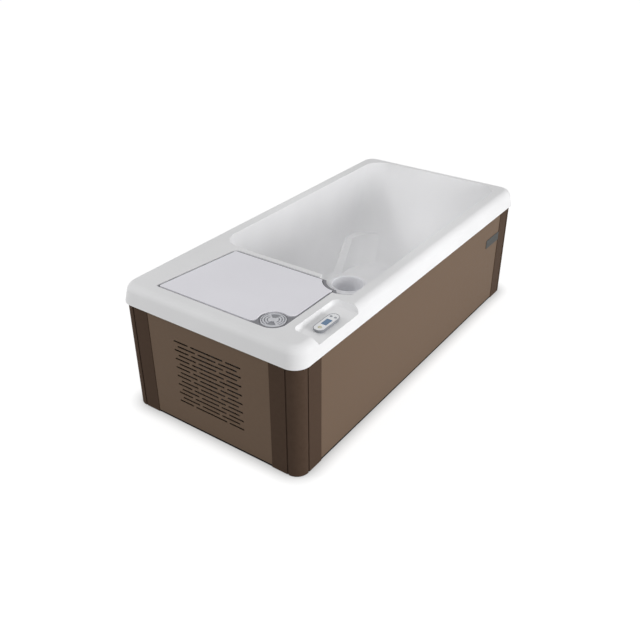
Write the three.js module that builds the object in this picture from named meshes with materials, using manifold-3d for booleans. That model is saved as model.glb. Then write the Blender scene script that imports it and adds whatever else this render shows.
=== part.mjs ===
// Cold plunge tub with its chiller under the deck.
// Frame: X across the tub, Y along it with the equipment end at -Y, Z up, millimetres.
// The origin is on the floor, under the middle of the tub.
import * as THREE from 'three';
import { mergeVertices } from 'three/addons/utils/BufferGeometryUtils.js';
import Module from 'manifold-3d';

const wasm = await Module();
wasm.setup();

// Overall sizes
const TUB_HEIGHT = 616;
const RIM_LENGTH = 2005;
const RIM_WIDTH = 953;
const CABINET_SIDE_CLEARANCE = 4;
const CABINET_END_CLEARANCE = 3;
const SEAT_GAP = 0.3;

// Shell: rim, skirt and basin
const SHELL_WALL = 8;
const RIM_CORNER_RADIUS = 68;
const RIM_SKIRT_HEIGHT = 86;
const RIM_EDGE_RADIUS = 32;
const RIM_DRAFT = 9;
const BASIN_RIM_WIDTH = 84.5;
const BASIN_LIP_RADIUS = 8;
const BASIN_FLOOR_HEIGHT = 60;
const BASIN_FLOOR_FILLET = 28;
const BASIN_SIDE_DRAFT = 30;
const BACKREST_SLOPE_RUN = 217;
const BACKREST_RIM_WIDTH = 67.5;
const BASIN_TOP_CORNER = 105;
const BASIN_FLOOR_CORNER = 130;

// Bolsters on both side walls beside the backrest
const BOLSTER_TOP = 245;
const BOLSTER_DEPTH = 22;
const BOLSTER_CORNER = 150;
const BOLSTER_FADE = 8;
const BOLSTER_NEAR_AT_TOP = 335;
const BOLSTER_NEAR_AT_FLOOR = 490;
const BOLSTER_BEVEL_NEAR = 58;
const BOLSTER_BEVEL_TOP = 16;

// Equipment deck: recess for the cover, seen from above
const RECESS_FRONT_MARGIN = 80;
const RECESS_LENGTH = 455.5;
const RECESS_RIGHT_MARGIN = 163.5;
const RECESS_LEFT_MARGIN = 152.5;
const RECESS_LEFT_LEAN = 50;
const RECESS_KNOB_CORNER = 66;
const RECESS_FAR_CORNER = 20;
const RECESS_DEPTH = 22;
const DECK_STRIP = 27;
const ACCESS_MARGIN_SIDE = 72;
const ACCESS_MARGIN_KNOB = 154;
const ACCESS_MARGIN_END = 36;
const ACCESS_CORNER = 25;

// Equipment cover and its seal
const COVER_GAP = 8;
const COVER_THICKNESS = 18;
const COVER_SKIN = 8;
const COVER_CORE_INSET = 3;
const COVER_NEAR_CORNER = 6;
const COVER_KNOB_NOTCH = 62;
const COVER_NOTCH_FLARE = 20;
const COVER_WELL_NOTCH = 109;
const SEAL_LAND = 13;
const SEAL_WELL_RADIUS = 92;
const SEAL_DROP = 5;
const SEAL_SIDE_GAP = 1;
const SEAL_KNOB_GAP = 2;

// Diverter valve
const KNOB_RADIUS = 52;
const KNOB_HEIGHT = 15;
const KNOB_TOP_DROP = 1;
const KNOB_FOOT_CHAMFER = 2;
const KNOB_CHAMFER = 3;
const KNOB_RIM_WIDTH = 12;
const KNOB_RECESS_DEPTH = 7;
const KNOB_GRIP_WIDTH = 26;
const KNOB_GRIP_TURN = 8;
const KNOB_STEM_RADIUS = 12;
const KNOB_STEM_LENGTH = 40;
const VALVE_COLLAR_RADIUS = 26;
const VALVE_NUT_RADIUS = 42;
const VALVE_NUT_HEIGHT = 16;
const VALVE_BODY_RADIUS = 34;
const VALVE_BODY_HEIGHT = 95;
const VALVE_OUTLET_DROP = 42;

// Control ledge and control
const LEDGE_FRONT_MARGIN = 133.5;
const LEDGE_LENGTH = 283;
const LEDGE_DEPTH = 18;
const LEDGE_WIDTH = 122.5;
const LEDGE_CORNER = 26;
const LEDGE_DRAFT = 8;
const CONTROL_FROM_EDGE = 60;
const CONTROL_SHIFT = 12;
const CONTROL_LENGTH = 150;
const CONTROL_WIDTH = 56;
const CONTROL_HEIGHT = 7;
const CONTROL_BEZEL = 4;
const CONTROL_FACE_DROP = 1;
const CONTROL_FACE_THICKNESS = 3;
const CONTROL_BACK_LENGTH = 104;
const CONTROL_BACK_WIDTH = 34;
const CONTROL_BACK_DEPTH = 22;
const DISPLAY_LENGTH = 46;
const DISPLAY_WIDTH = 26;
const DISPLAY_CORNER = 3;
const POWER_BUTTON_RADIUS = 8;
const POWER_BUTTON_PLACE = -46;
const ARROW_BUTTON_RADIUS = 5.5;
const ARROW_BUTTON_PLACE = 46;
const ARROW_BUTTON_SPREAD = 10;
const BUTTON_PROUD = 1.5;
const BUTTON_TRAVEL = 1;
const BUTTON_CLEARANCE = 0.4;
const BUTTON_CHAMFER = 0.8;
const BUTTON_CHAMFER_DROP = 0.6;

// Filter well
const WELL_FROM_RIM = 166.5;
const WELL_BEYOND_RECESS = 41;
const WELL_RADIUS = 67;
const WELL_WALL = 5;
const WELL_LIP_DROP = 14;
const WELL_LIP_CHAMFER = 2;
const WELL_LIP_OUTER = 1.5;
const WELL_LIP_INNER = 1;
const WELL_FLANGE_RADIUS = 84;
const WELL_FLANGE_THICKNESS = 3;
const WELL_DEPTH = 345;
const WELL_ALCOVE_RADIUS = 124;
const WELL_COLUMN_RADIUS = 84;
const WELL_OUTLET_RISE = 35;
const WELL_OUTLET_LENGTH = 36;
const CARTRIDGE_RADIUS = 54;
const CARTRIDGE_LENGTH = 205;
const CARTRIDGE_PLEATS = 20;
const CARTRIDGE_PLEAT_DEPTH = 8;
const CARTRIDGE_CAP_HEIGHT = 10;
const CARTRIDGE_BAIL_HEIGHT = 34;
const CARTRIDGE_BAIL_WIDTH = 8;
const CARTRIDGE_BAIL_INSET = 12;

// Cabinet: corner posts, panels, base
const POST_THICKNESS = 14;
const POST_END_FLANGE = 142;
const POST_SIDE_FLANGE = 150;
const POST_IN_SKIRT = 12;
const POST_FOOT_HEIGHT = 2;
const POST_GROOVE_WIDTH = 7;
const POST_GROOVE_DEPTH = 4;
const POST_GROOVE_SETBACK = 2;
const PANEL_THICKNESS = 12;
const PANEL_SETBACK = 2;
const PANEL_JOINT = 0.5;
const BASE_THICKNESS = 10;
const BASE_INSET = 4;
const PLATE_LENGTH = 154;
const PLATE_HEIGHT = 48;
const PLATE_TOP_DROP = 202;
const PLATE_THICKNESS = 2;

// Grille in the front panel: long rows and short rows take turns
const GRILLE_ROWS = 15;
const GRILLE_PITCH = 21.86;
const GRILLE_TOP_DROP = 185;
const GRILLE_SLOT_HEIGHT = 8.5;
const GRILLE_GAP = 13;
const GRILLE_LONG_SLOT = 175;
const GRILLE_END_SLOT = 80;
const GRILLE_EVEN_SLOT = 98;

// Frame that carries the rim and the panels
const FRAME_TUBE = 16;
const FRAME_RAIL_HEIGHT = 40;
const FRAME_RAIL_DROP = 67;
const FRAME_LEG_WIDTH = 40;
const FRAME_LEG_FROM_END = 84;
const FOAM_THICKNESS = 18;
const FOAM_TOP_DROP = 47;
const FOAM_NEAR_SETBACK = 105;

// Chiller
const TRAY_SHEET = 3;
const TRAY_LIP = 22;
const TRAY_WIDTH = 600;
const TRAY_LENGTH = 276;
const TRAY_LEFT = -205;
const TRAY_FROM_PANEL = 20;
const COIL_WIDTH = 380;
const COIL_HEIGHT = 400;
const COIL_THICKNESS = 40;
const COIL_FINS = 9;
const COIL_FIN_DEPTH = 12;
const COIL_FIN_SHARE = 0.6;
const COIL_FROM_TRAY = 8;
const FAN_OPENING_RADIUS = 97;
const FAN_TIP_GAP = 5;
const FAN_HUB_RADIUS = 28;
const FAN_BLADES = 5;
const FAN_BLADE_SECTIONS = 3;
const FAN_ROOT_OVERLAP = 4;
const FAN_ROOT_CHORD_SHARE = 0.55;
const FAN_CHORD = 62;
const FAN_BLADE_THICKNESS = 3;
const FAN_ROOT_PITCH = 38;
const FAN_TIP_PITCH = 22;
const FAN_DEPTH = 22;
const FAN_CENTRE_HEIGHT = 240;
const SHROUD_RING_DEPTH = 36;
const SHROUD_RING_WALL = 4;
const FAN_MOTOR_RADIUS = 40;
const FAN_MOTOR_LENGTH = 58;
const FAN_SHAFT_RADIUS = 5;
const FAN_ARM_WIDTH = 14;
const FAN_ARM_THICKNESS = 6;
const FAN_ARM_TURNS = [60, 180, 300];
const COMPRESSOR_RADIUS = 74;
const COMPRESSOR_HEIGHT = 225;
const COMPRESSOR_PLACE = [290, 140];
const COMPRESSOR_FOOT = 176;
const COMPRESSOR_FOOT_THICKNESS = 8;
const COMPRESSOR_FOOT_CORNER = 20;
const COMPRESSOR_LIFT = 4;
const COMPRESSOR_BOTTOM_ROUND = [16, 30];
const COMPRESSOR_DOME = [[0, 45], [8, 24], [30, 6]];
const TERMINAL_BOX = { proud: 22, into: 10, width: 56, top: 70, bottom: 150 };
const EXCHANGER_SIZE = [80, 60, 236];
const EXCHANGER_PLACE = [330, 262];
const EXCHANGER_PLATES = 6;
const EXCHANGER_PLATE_SHARE = 0.6;
const EXCHANGER_GROOVE = 3;
const EXCHANGER_PORT_RADIUS = 16;
const EXCHANGER_PORT_LENGTH = 25;
const EXCHANGER_PORT_INSET = 40;
const EXCHANGER_PORT_INTO = 10;

// Circulation pump, placed from the panel's inner face
const PUMP_PLACE = [-240, 354];
const PUMP_AXIS_HEIGHT = 95;
const PUMP_MOTOR_RADIUS = 62;
const PUMP_MOTOR_LENGTH = 180;
const PUMP_MOTOR_FINS = 5;
const PUMP_FIN_DEPTH = 5;
const PUMP_FIN_START = 0.4;
const PUMP_VOLUTE_RADIUS = 78;
const PUMP_VOLUTE_WIDTH = 50;
const PUMP_PORT_LENGTH = 30;
const PUMP_OUTLET_TOP = 205;
const PUMP_BASE_WIDTH = 110;
const PUMP_BASE_LENGTH = 150;
const PUMP_BASE_FOOT = 12;

// Electrics on the legs of the frame
const CONTROL_BOX_SIZE = [80, 190, 200];
const CONTROL_BOX_TOP_DROP = 132;
const CONTROL_BOX_COVER = 5;
const OZONE_SIZE = [75, 100, 130];
const OZONE_TOP_DROP = 147;
const OZONE_NOZZLE_RADIUS = 6;
const OZONE_NOZZLE_LENGTH = 18;

// Fittings in the near wall of the basin and pipes
const PIPE_RADIUS = 21;
const PIPE_WALL = 3;
const PIPE_BEND = 45;
const PIPE_BEND_STEPS = 2;
const PIPE_SIDES = 7;
const JET_ACROSS = 0.16;
const JET_BELOW_RIM = 277;
const DRAIN_ACROSS = -0.484;
const DRAIN_ABOVE_FILLET = 77;
const FITTING_BARREL = 25;
const FITTING_FLANGE = 40;
const FITTING_FLANGE_THICKNESS = 6;
const FITTING_CHAMFER = 3;
const FITTING_BORE = 15;
const FITTING_NUT = 36;
const FITTING_NUT_WIDTH = 18;
const FITTING_REACH = 46;
const JET_BALL_DEPTH = 12;
const JET_BALL_PROUD = 6;
const JET_NOZZLE_RADIUS = 5;
const JET_NOZZLE_TURN = 45;
const DRAIN_HOLE_RADIUS = 4;
const DRAIN_HOLE_MARGIN = 2;
const DRAIN_STRAINER = 4;
const DRAIN_HOLES = 5;
const DRAIN_VALVE_LENGTH = 66;
const DRAIN_VALVE_RADIUS = 27;
const DRAIN_CAP_LENGTH = 14;
const DRAIN_CAP_STEP = 5;
const DRAIN_VALVE_CHAMFER = [4, 8];
const DRAIN_BONNET_RADIUS = 11;
const DRAIN_BONNET_RISE = 40;
const DRAIN_STEM_RADIUS = 5;
const DRAIN_STEM_RISE = 9;
const DRAIN_LEVER_LENGTH = 85;
const DRAIN_LEVER_WIDTH = 16;
const DRAIN_LEVER_THICKNESS = 6;

// Faceting
const CORNER_STEPS = 6;
const ARC_STEPS = 3;
const ROUND_SIDES = 20;
const FILLET_STEPS = 3;
const SLOT_END_STEPS = 2;
const SMALL_SIDES = 12;
const KNOB_SIDES = 24;
const CUT_MARGIN = 5;

// Worked out from the sizes above
const FRONT_Y = -RIM_LENGTH / 2;
const REAR_Y = RIM_LENGTH / 2;
const SIDE_X = RIM_WIDTH / 2;
const CABINET_X = SIDE_X - SHELL_WALL - CABINET_SIDE_CLEARANCE;
const CABINET_Y = REAR_Y - SHELL_WALL - CABINET_END_CLEARANCE;
const CABINET_CORNER_RADIUS = RIM_CORNER_RADIUS - SHELL_WALL - CABINET_SIDE_CLEARANCE;
const SKIRT_BOTTOM = TUB_HEIGHT - RIM_SKIRT_HEIGHT;
const POST_TOP = SKIRT_BOTTOM + POST_IN_SKIRT;
const RECESS = {
  near: FRONT_Y + RECESS_FRONT_MARGIN,
  far: FRONT_Y + RECESS_FRONT_MARGIN + RECESS_LENGTH,
  right: SIDE_X - RECESS_RIGHT_MARGIN,
  left: -SIDE_X + RECESS_LEFT_MARGIN,
  floor: TUB_HEIGHT - RECESS_DEPTH,
};
const LEAN = RECESS_LEFT_LEAN / RECESS_LENGTH;
const KNOB = new THREE.Vector2(RECESS.right - RECESS_KNOB_CORNER, RECESS.near + RECESS_KNOB_CORNER);
const WELL = new THREE.Vector2(SIDE_X - WELL_FROM_RIM, RECESS.far + WELL_BEYOND_RECESS);
const BASIN_NEAR = RECESS.far + DECK_STRIP;
const BASIN_HALF = SIDE_X - BASIN_RIM_WIDTH;
const BASIN_FAR = REAR_Y - BACKREST_RIM_WIDTH;
const WALL_TOP = TUB_HEIGHT - BASIN_LIP_RADIUS;
const WALL_BOTTOM = BASIN_FLOOR_HEIGHT + BASIN_FLOOR_FILLET;
const JET_PLACE = [JET_ACROSS * BASIN_HALF, TUB_HEIGHT - JET_BELOW_RIM];
const DRAIN_PLACE = [DRAIN_ACROSS * BASIN_HALF, WALL_BOTTOM + DRAIN_ABOVE_FILLET];
const PANEL_INNER = PANEL_SETBACK + PANEL_THICKNESS;
const BAY_FRONT = -CABINET_Y + PANEL_INNER;
const RIM_UNDERSIDE = TUB_HEIGHT - SHELL_WALL;
const STAND = BASE_THICKNESS + SEAT_GAP;
const TRAY_TOP = STAND + TRAY_SHEET;
const LEG_INNER = CABINET_X - PANEL_INNER - 2 * (FRAME_TUBE + SEAT_GAP);

// Solids

function solid(geometry) {
  const bare = geometry.clone();
  bare.deleteAttribute('normal');
  bare.deleteAttribute('uv');
  const merged = mergeVertices(bare, 1e-4);
  const place = merged.attributes.position.array;
  const corners = [];
  let volume = 0;
  for (let i = 0; i < merged.index.count; i += 3) {
    const [a, b, c] = [0, 1, 2].map((k) => merged.index.getX(i + k));
    if (a === b || b === c || a === c) continue;
    const [p, q, r] = [a, b, c].map((k) => new THREE.Vector3().fromArray(place, 3 * k));
    volume += p.dot(q.cross(r));
    corners.push(a, b, c);
  }
  if (volume < 0) corners.reverse();
  const mesh = new wasm.Mesh({
    numProp: 3,
    vertProperties: new Float32Array(place),
    triVerts: new Uint32Array(corners),
  });
  return new wasm.Manifold(mesh);
}

function join(...pieces) {
  return pieces.reduce((whole, piece) => whole.add(piece));
}

function cut(body, ...tools) {
  return tools.reduce((rest, tool) => rest.subtract(tool), body);
}

function toGeometry(body) {
  const mesh = body.getMesh();
  const geometry = new THREE.BufferGeometry();
  geometry.setAttribute('position', new THREE.BufferAttribute(new Float32Array(mesh.vertProperties), 3));
  geometry.setIndex(new THREE.BufferAttribute(new Uint32Array(mesh.triVerts), 1));
  geometry.computeVertexNormals();
  return geometry;
}

function block(x0, x1, y0, y1, z0, z1) {
  const geometry = new THREE.BoxGeometry(x1 - x0, y1 - y0, z1 - z0);
  return solid(geometry.translate((x0 + x1) / 2, (y0 + y1) / 2, (z0 + z1) / 2));
}

function drum(radius, x, y, z0, z1, sides = ROUND_SIDES) {
  const geometry = new THREE.CylinderGeometry(radius, radius, z1 - z0, sides);
  return solid(geometry.rotateX(Math.PI / 2).translate(x, y, (z0 + z1) / 2));
}

function drumAlongY(radius, x, z, y0, y1, sides = ROUND_SIDES) {
  const geometry = new THREE.CylinderGeometry(radius, radius, y1 - y0, sides);
  return solid(geometry.translate(x, (y0 + y1) / 2, z));
}

function drumAlongX(radius, y, z, x0, x1, sides = ROUND_SIDES) {
  const geometry = new THREE.CylinderGeometry(radius, radius, x1 - x0, sides);
  return solid(geometry.rotateZ(Math.PI / 2).translate((x0 + x1) / 2, y, z));
}

// The radius of a faceted hole that clears a round of the given radius
function clear(radius, sides = ROUND_SIDES) {
  return (radius + SEAT_GAP) / Math.cos(Math.PI / sides);
}

// A flat outline in plan, raised from z0 to z1
function plate(shape, z0, z1) {
  const options = { depth: z1 - z0, bevelEnabled: false, curveSegments: ARC_STEPS };
  return solid(new THREE.ExtrudeGeometry(shape, options).translate(0, 0, z0));
}

// An outline drawn in X and Z, thick from y0 to y1
function upright(shape, y0, y1) {
  const options = { depth: y1 - y0, bevelEnabled: false, curveSegments: SLOT_END_STEPS };
  return solid(new THREE.ExtrudeGeometry(shape, options).rotateX(Math.PI / 2).translate(0, y1, 0));
}

// A closed profile of radius and height, turned about a vertical axis
function turned(profile, x, y, sides = ROUND_SIDES) {
  const points = profile.map(([radius, height]) => new THREE.Vector2(radius, height));
  return solid(new THREE.LatheGeometry(points, sides).rotateX(Math.PI / 2).translate(x, y, 0));
}

// The same, turned about an axis along Y
function turnedAlongY(profile, x, z, sides = ROUND_SIDES) {
  const points = profile.map(([radius, place]) => new THREE.Vector2(radius, place));
  return solid(new THREE.LatheGeometry(points, sides).translate(x, 0, z));
}

// The same, turned about an axis along X
function turnedAlongX(profile, y, z, sides = ROUND_SIDES) {
  const points = profile.map(([radius, place]) => new THREE.Vector2(radius, place));
  return solid(new THREE.LatheGeometry(points, sides).rotateZ(-Math.PI / 2).translate(0, y, z));
}

function polygon(points) {
  return new THREE.Shape(points.map(([x, y]) => new THREE.Vector2(x, y)));
}

function roundedRectangle(x0, x1, y0, y1, radius) {
  const shape = new THREE.Shape();
  shape.absarc(x1 - radius, y0 + radius, radius, -Math.PI / 2, 0);
  shape.absarc(x1 - radius, y1 - radius, radius, 0, Math.PI / 2);
  shape.absarc(x0 + radius, y1 - radius, radius, Math.PI / 2, Math.PI);
  shape.absarc(x0 + radius, y0 + radius, radius, Math.PI, 1.5 * Math.PI);
  shape.closePath();
  return shape;
}

// One ring of a loft: a rounded rectangle at height z
function ring(z, x0, x1, y0, y1, radius) {
  const centres = [[x1 - radius, y0 + radius], [x1 - radius, y1 - radius],
    [x0 + radius, y1 - radius], [x0 + radius, y0 + radius]];
  const points = [];
  centres.forEach(([x, y], quarter) => {
    for (let step = 0; step <= CORNER_STEPS; step += 1) {
      const angle = (quarter - 1 + step / CORNER_STEPS) * Math.PI / 2;
      points.push(new THREE.Vector3(x + radius * Math.cos(angle), y + radius * Math.sin(angle), z));
    }
  });
  return points;
}

// A body through convex rings with equal counts of points, closed by a flat cap at each end
function loft(rings) {
  const count = rings[0].length;
  const last = (rings.length - 1) * count;
  const corners = [];
  for (let level = 0; level < rings.length - 1; level += 1) {
    for (let k = 0; k < count; k += 1) {
      const a = level * count + k;
      const b = level * count + (k + 1) % count;
      corners.push(a, b, b + count, a, b + count, a + count);
    }
  }
  for (let k = 1; k < count - 1; k += 1) {
    corners.push(0, k + 1, k);
    corners.push(last, last + k, last + k + 1);
  }
  const geometry = new THREE.BufferGeometry();
  geometry.setFromPoints(rings.flat());
  geometry.setIndex(corners);
  return solid(geometry);
}

// The points along a route, with a round bend at each inner corner
function bentRoute(route) {
  const corners = route.map((point) => new THREE.Vector3(...point));
  const points = [corners[0]];
  for (let k = 1; k < corners.length - 1; k += 1) {
    const corner = corners[k];
    const before = corners[k - 1].clone().sub(corner).setLength(PIPE_BEND).add(corner);
    const after = corners[k + 1].clone().sub(corner).setLength(PIPE_BEND).add(corner);
    points.push(...new THREE.QuadraticBezierCurve3(before, corner, after).getPoints(PIPE_BEND_STEPS));
  }
  points.push(corners.at(-1));
  return points;
}

// A round rod swept along points, longer by an amount at both ends
function rod(points, radius, longer) {
  const directions = points.map((point, k) => {
    const before = points[Math.max(k - 1, 0)];
    const after = points[Math.min(k + 1, points.length - 1)];
    return after.clone().sub(before).normalize();
  });
  const first = directions[0];
  const aside = Math.abs(first.z) > 0.5 ? new THREE.Vector3(1, 0, 0) : new THREE.Vector3(0, 0, 1);
  let side = aside.cross(first).normalize();
  const rings = points.map((point, k) => {
    const along = directions[k];
    side = side.clone().addScaledVector(along, -side.dot(along)).normalize();
    const other = along.clone().cross(side);
    const stretch = k === 0 ? -longer : (k === points.length - 1 ? longer : 0);
    const centre = point.clone().addScaledVector(along, stretch);
    return Array.from({ length: PIPE_SIDES }, (_, step) => {
      const angle = step / PIPE_SIDES * 2 * Math.PI;
      return centre.clone().addScaledVector(side, radius * Math.cos(angle))
        .addScaledVector(other, radius * Math.sin(angle));
    });
  });
  return loft(rings);
}

function pipe(route) {
  const points = bentRoute(route);
  return cut(rod(points, PIPE_RADIUS, 0), rod(points, PIPE_RADIUS - PIPE_WALL, 1));
}

// Outlines on the deck

function recessLeftAt(y, offset) {
  return RECESS.left + (y - RECESS.near) * LEAN - offset * Math.hypot(1, LEAN);
}

// The cover recess, grown outwards by an offset
function recessShape(offset) {
  const near = RECESS.near - offset;
  const far = RECESS.far + offset;
  const right = RECESS.right + offset;
  const shape = new THREE.Shape();
  shape.moveTo(recessLeftAt(near, offset), near);
  shape.lineTo(KNOB.x, near);
  shape.absarc(KNOB.x, KNOB.y, RECESS_KNOB_CORNER + offset, -Math.PI / 2, 0);
  shape.lineTo(right, far);
  const corner = RECESS_FAR_CORNER + offset;
  const leftEnd = recessLeftAt(far, offset);
  shape.lineTo(leftEnd + corner, far);
  shape.quadraticCurveTo(leftEnd, far, recessLeftAt(far - corner, offset), far - corner);
  shape.closePath();
  return shape;
}

// The cover's outline, drawn in by an inset
function coverShape(inset) {
  const gap = COVER_GAP + inset;
  const near = RECESS.near + gap;
  const far = RECESS.far - gap;
  const right = RECESS.right - gap;
  const notch = COVER_KNOB_NOTCH + inset;
  const flare = COVER_NOTCH_FLARE - inset;
  const shape = new THREE.Shape();
  const leftNear = recessLeftAt(near, -gap);
  const small = COVER_NEAR_CORNER;
  shape.moveTo(recessLeftAt(near + small, -gap), near + small);
  shape.quadraticCurveTo(leftNear, near, leftNear + small, near);
  const nearFlare = new THREE.Vector2(0, near + flare);
  nearFlare.x = KNOB.x - Math.sqrt((notch + flare) ** 2 - (nearFlare.y - KNOB.y) ** 2);
  const sideFlare = new THREE.Vector2(right - flare, 0);
  sideFlare.y = KNOB.y + Math.sqrt((notch + flare) ** 2 - (sideFlare.x - KNOB.x) ** 2);
  const nearTurn = Math.atan2(KNOB.y - nearFlare.y, KNOB.x - nearFlare.x);
  const sideTurn = Math.atan2(KNOB.y - sideFlare.y, KNOB.x - sideFlare.x);
  shape.absarc(nearFlare.x, nearFlare.y, flare, -Math.PI / 2, nearTurn);
  shape.absarc(KNOB.x, KNOB.y, notch, nearTurn + Math.PI, sideTurn + Math.PI, true);
  shape.absarc(sideFlare.x, sideFlare.y, flare, sideTurn, 0);
  const well = COVER_WELL_NOTCH + inset;
  const wellTip = WELL.y - Math.sqrt(well ** 2 - (right - WELL.x) ** 2);
  const wellEnd = WELL.x - Math.sqrt(well ** 2 - (far - WELL.y) ** 2);
  shape.lineTo(right, wellTip);
  const tipTurn = Math.atan2(wellTip - WELL.y, right - WELL.x);
  const endTurn = Math.atan2(far - WELL.y, wellEnd - WELL.x);
  shape.absarc(WELL.x, WELL.y, well, tipTurn, endTurn, true);
  const corner = Math.max(RECESS_FAR_CORNER - gap, small);
  const leftEnd = recessLeftAt(far, -gap);
  shape.lineTo(leftEnd + corner, far);
  shape.quadraticCurveTo(leftEnd, far, recessLeftAt(far - corner, -gap), far - corner);
  shape.closePath();
  return shape;
}

function stadium(x, y, length, width) {
  const half = length / 2;
  return roundedRectangle(x - width / 2, x + width / 2, y - half, y + half, width / 2 - 0.01);
}

// Tub shell

// The rounded rim with its leaning skirt, drawn in by an inset all round, from the given bottom to its top
function rimBody(inset, bottom) {
  const roundFrom = TUB_HEIGHT - RIM_EDGE_RADIUS;
  const radius = RIM_EDGE_RADIUS - inset;
  const rings = [];
  const addRing = (z, extra) => {
    const draw = inset + extra;
    rings.push(ring(z, -SIDE_X + draw, SIDE_X - draw, FRONT_Y + draw, REAR_Y - draw,
      RIM_CORNER_RADIUS - draw));
  };
  addRing(bottom, RIM_DRAFT * (bottom - SKIRT_BOTTOM) / (roundFrom - SKIRT_BOTTOM));
  for (let step = 0; step <= FILLET_STEPS + 1; step += 1) {
    const angle = step / (FILLET_STEPS + 1) * Math.PI / 2;
    addRing(roundFrom + radius * Math.sin(angle), RIM_DRAFT + radius * (1 - Math.cos(angle)));
  }
  return loft(rings);
}

// The basin, grown outwards by an offset: floor, fillet, drafted walls and sloped backrest, rounded lip
function basinBody(offset) {
  const rings = [];
  const addRing = (z, rise, grow) => {
    const half = BASIN_HALF - BASIN_SIDE_DRAFT * (1 - rise) + grow;
    const far = BASIN_FAR - BACKREST_SLOPE_RUN * (1 - rise) + grow;
    const corner = BASIN_FLOOR_CORNER + (BASIN_TOP_CORNER - BASIN_FLOOR_CORNER) * rise + grow;
    rings.push(ring(z, -half, half, BASIN_NEAR - grow, far, corner));
  };
  const fillet = BASIN_FLOOR_FILLET + offset;
  for (let step = 0; step <= FILLET_STEPS; step += 1) {
    const angle = step / FILLET_STEPS * Math.PI / 2;
    addRing(WALL_BOTTOM - fillet * Math.cos(angle), 0, offset - fillet * (1 - Math.sin(angle)));
  }
  const lip = Math.max(BASIN_LIP_RADIUS - offset, 0);
  const lipSteps = lip > 0 ? FILLET_STEPS : 0;
  for (let step = 0; step <= lipSteps; step += 1) {
    const angle = step / FILLET_STEPS * Math.PI / 2;
    addRing(WALL_TOP + lip * Math.sin(angle), 1, offset + lip * (1 - Math.cos(angle)));
  }
  addRing(TUB_HEIGHT + (offset > 0 ? -offset / 2 : CUT_MARGIN), 1, offset + lip);
  return loft(rings);
}

// The room between the bolsters, narrower than the basin and with wider corners beside the backrest
function bolsterRoom() {
  const level = (z) => {
    const fall = (WALL_TOP - z) / (WALL_TOP - WALL_BOTTOM);
    const half = BASIN_HALF - BASIN_SIDE_DRAFT * fall - BOLSTER_DEPTH;
    const far = BASIN_FAR - BACKREST_SLOPE_RUN * fall + BOLSTER_FADE;
    return ring(z, -half, half, BASIN_NEAR - BOLSTER_CORNER, far, BOLSTER_CORNER);
  };
  return loft([level(BASIN_FLOOR_HEIGHT - SHELL_WALL), level(BOLSTER_TOP + CUT_MARGIN)]);
}

// The block that a bolster is cut from, with a bevel at its near end and top, side = -1 or 1
function bolsterBlock(side) {
  const foot = BASIN_FLOOR_HEIGHT - SHELL_WALL / 2;
  const wall = BASIN_HALF - BASIN_SIDE_DRAFT;
  const section = (x, near, topDrop) => [
    [BASIN_FAR - BOLSTER_NEAR_AT_FLOOR + near, foot],
    [BASIN_FAR, foot],
    [BASIN_FAR, BOLSTER_TOP - topDrop],
    [BASIN_FAR - BOLSTER_NEAR_AT_TOP + near, BOLSTER_TOP - topDrop],
  ].map(([y, z]) => new THREE.Vector3(side * x, y, z));
  const face = wall - BOLSTER_DEPTH;
  return loft([section(BASIN_HALF, 0, 0), section(wall, 0, 0),
    section(face, BOLSTER_BEVEL_NEAR, BOLSTER_BEVEL_TOP),
    section(face - BOLSTER_CORNER, BOLSTER_BEVEL_NEAR, BOLSTER_BEVEL_TOP)]);
}

function ledgeCorners() {
  const near = FRONT_Y + LEDGE_FRONT_MARGIN;
  return { near, far: near + LEDGE_LENGTH, inner: SIDE_X - LEDGE_WIDTH, floor: TUB_HEIGHT - LEDGE_DEPTH };
}

// The ledge's room, wider at the top by the draft of its walls, grown outwards by an offset
function ledgeRoom(offset, bottom, top) {
  const { near, far, inner, floor } = ledgeCorners();
  const outer = SIDE_X + LEDGE_CORNER + CUT_MARGIN;
  const level = (z) => {
    const draw = LEDGE_DRAFT / 2 - (z - floor) / LEDGE_DEPTH * LEDGE_DRAFT - offset;
    return ring(z, inner + draw, outer, near + draw, far - draw, LEDGE_CORNER);
  };
  return loft([level(bottom), level(top)]);
}

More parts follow.
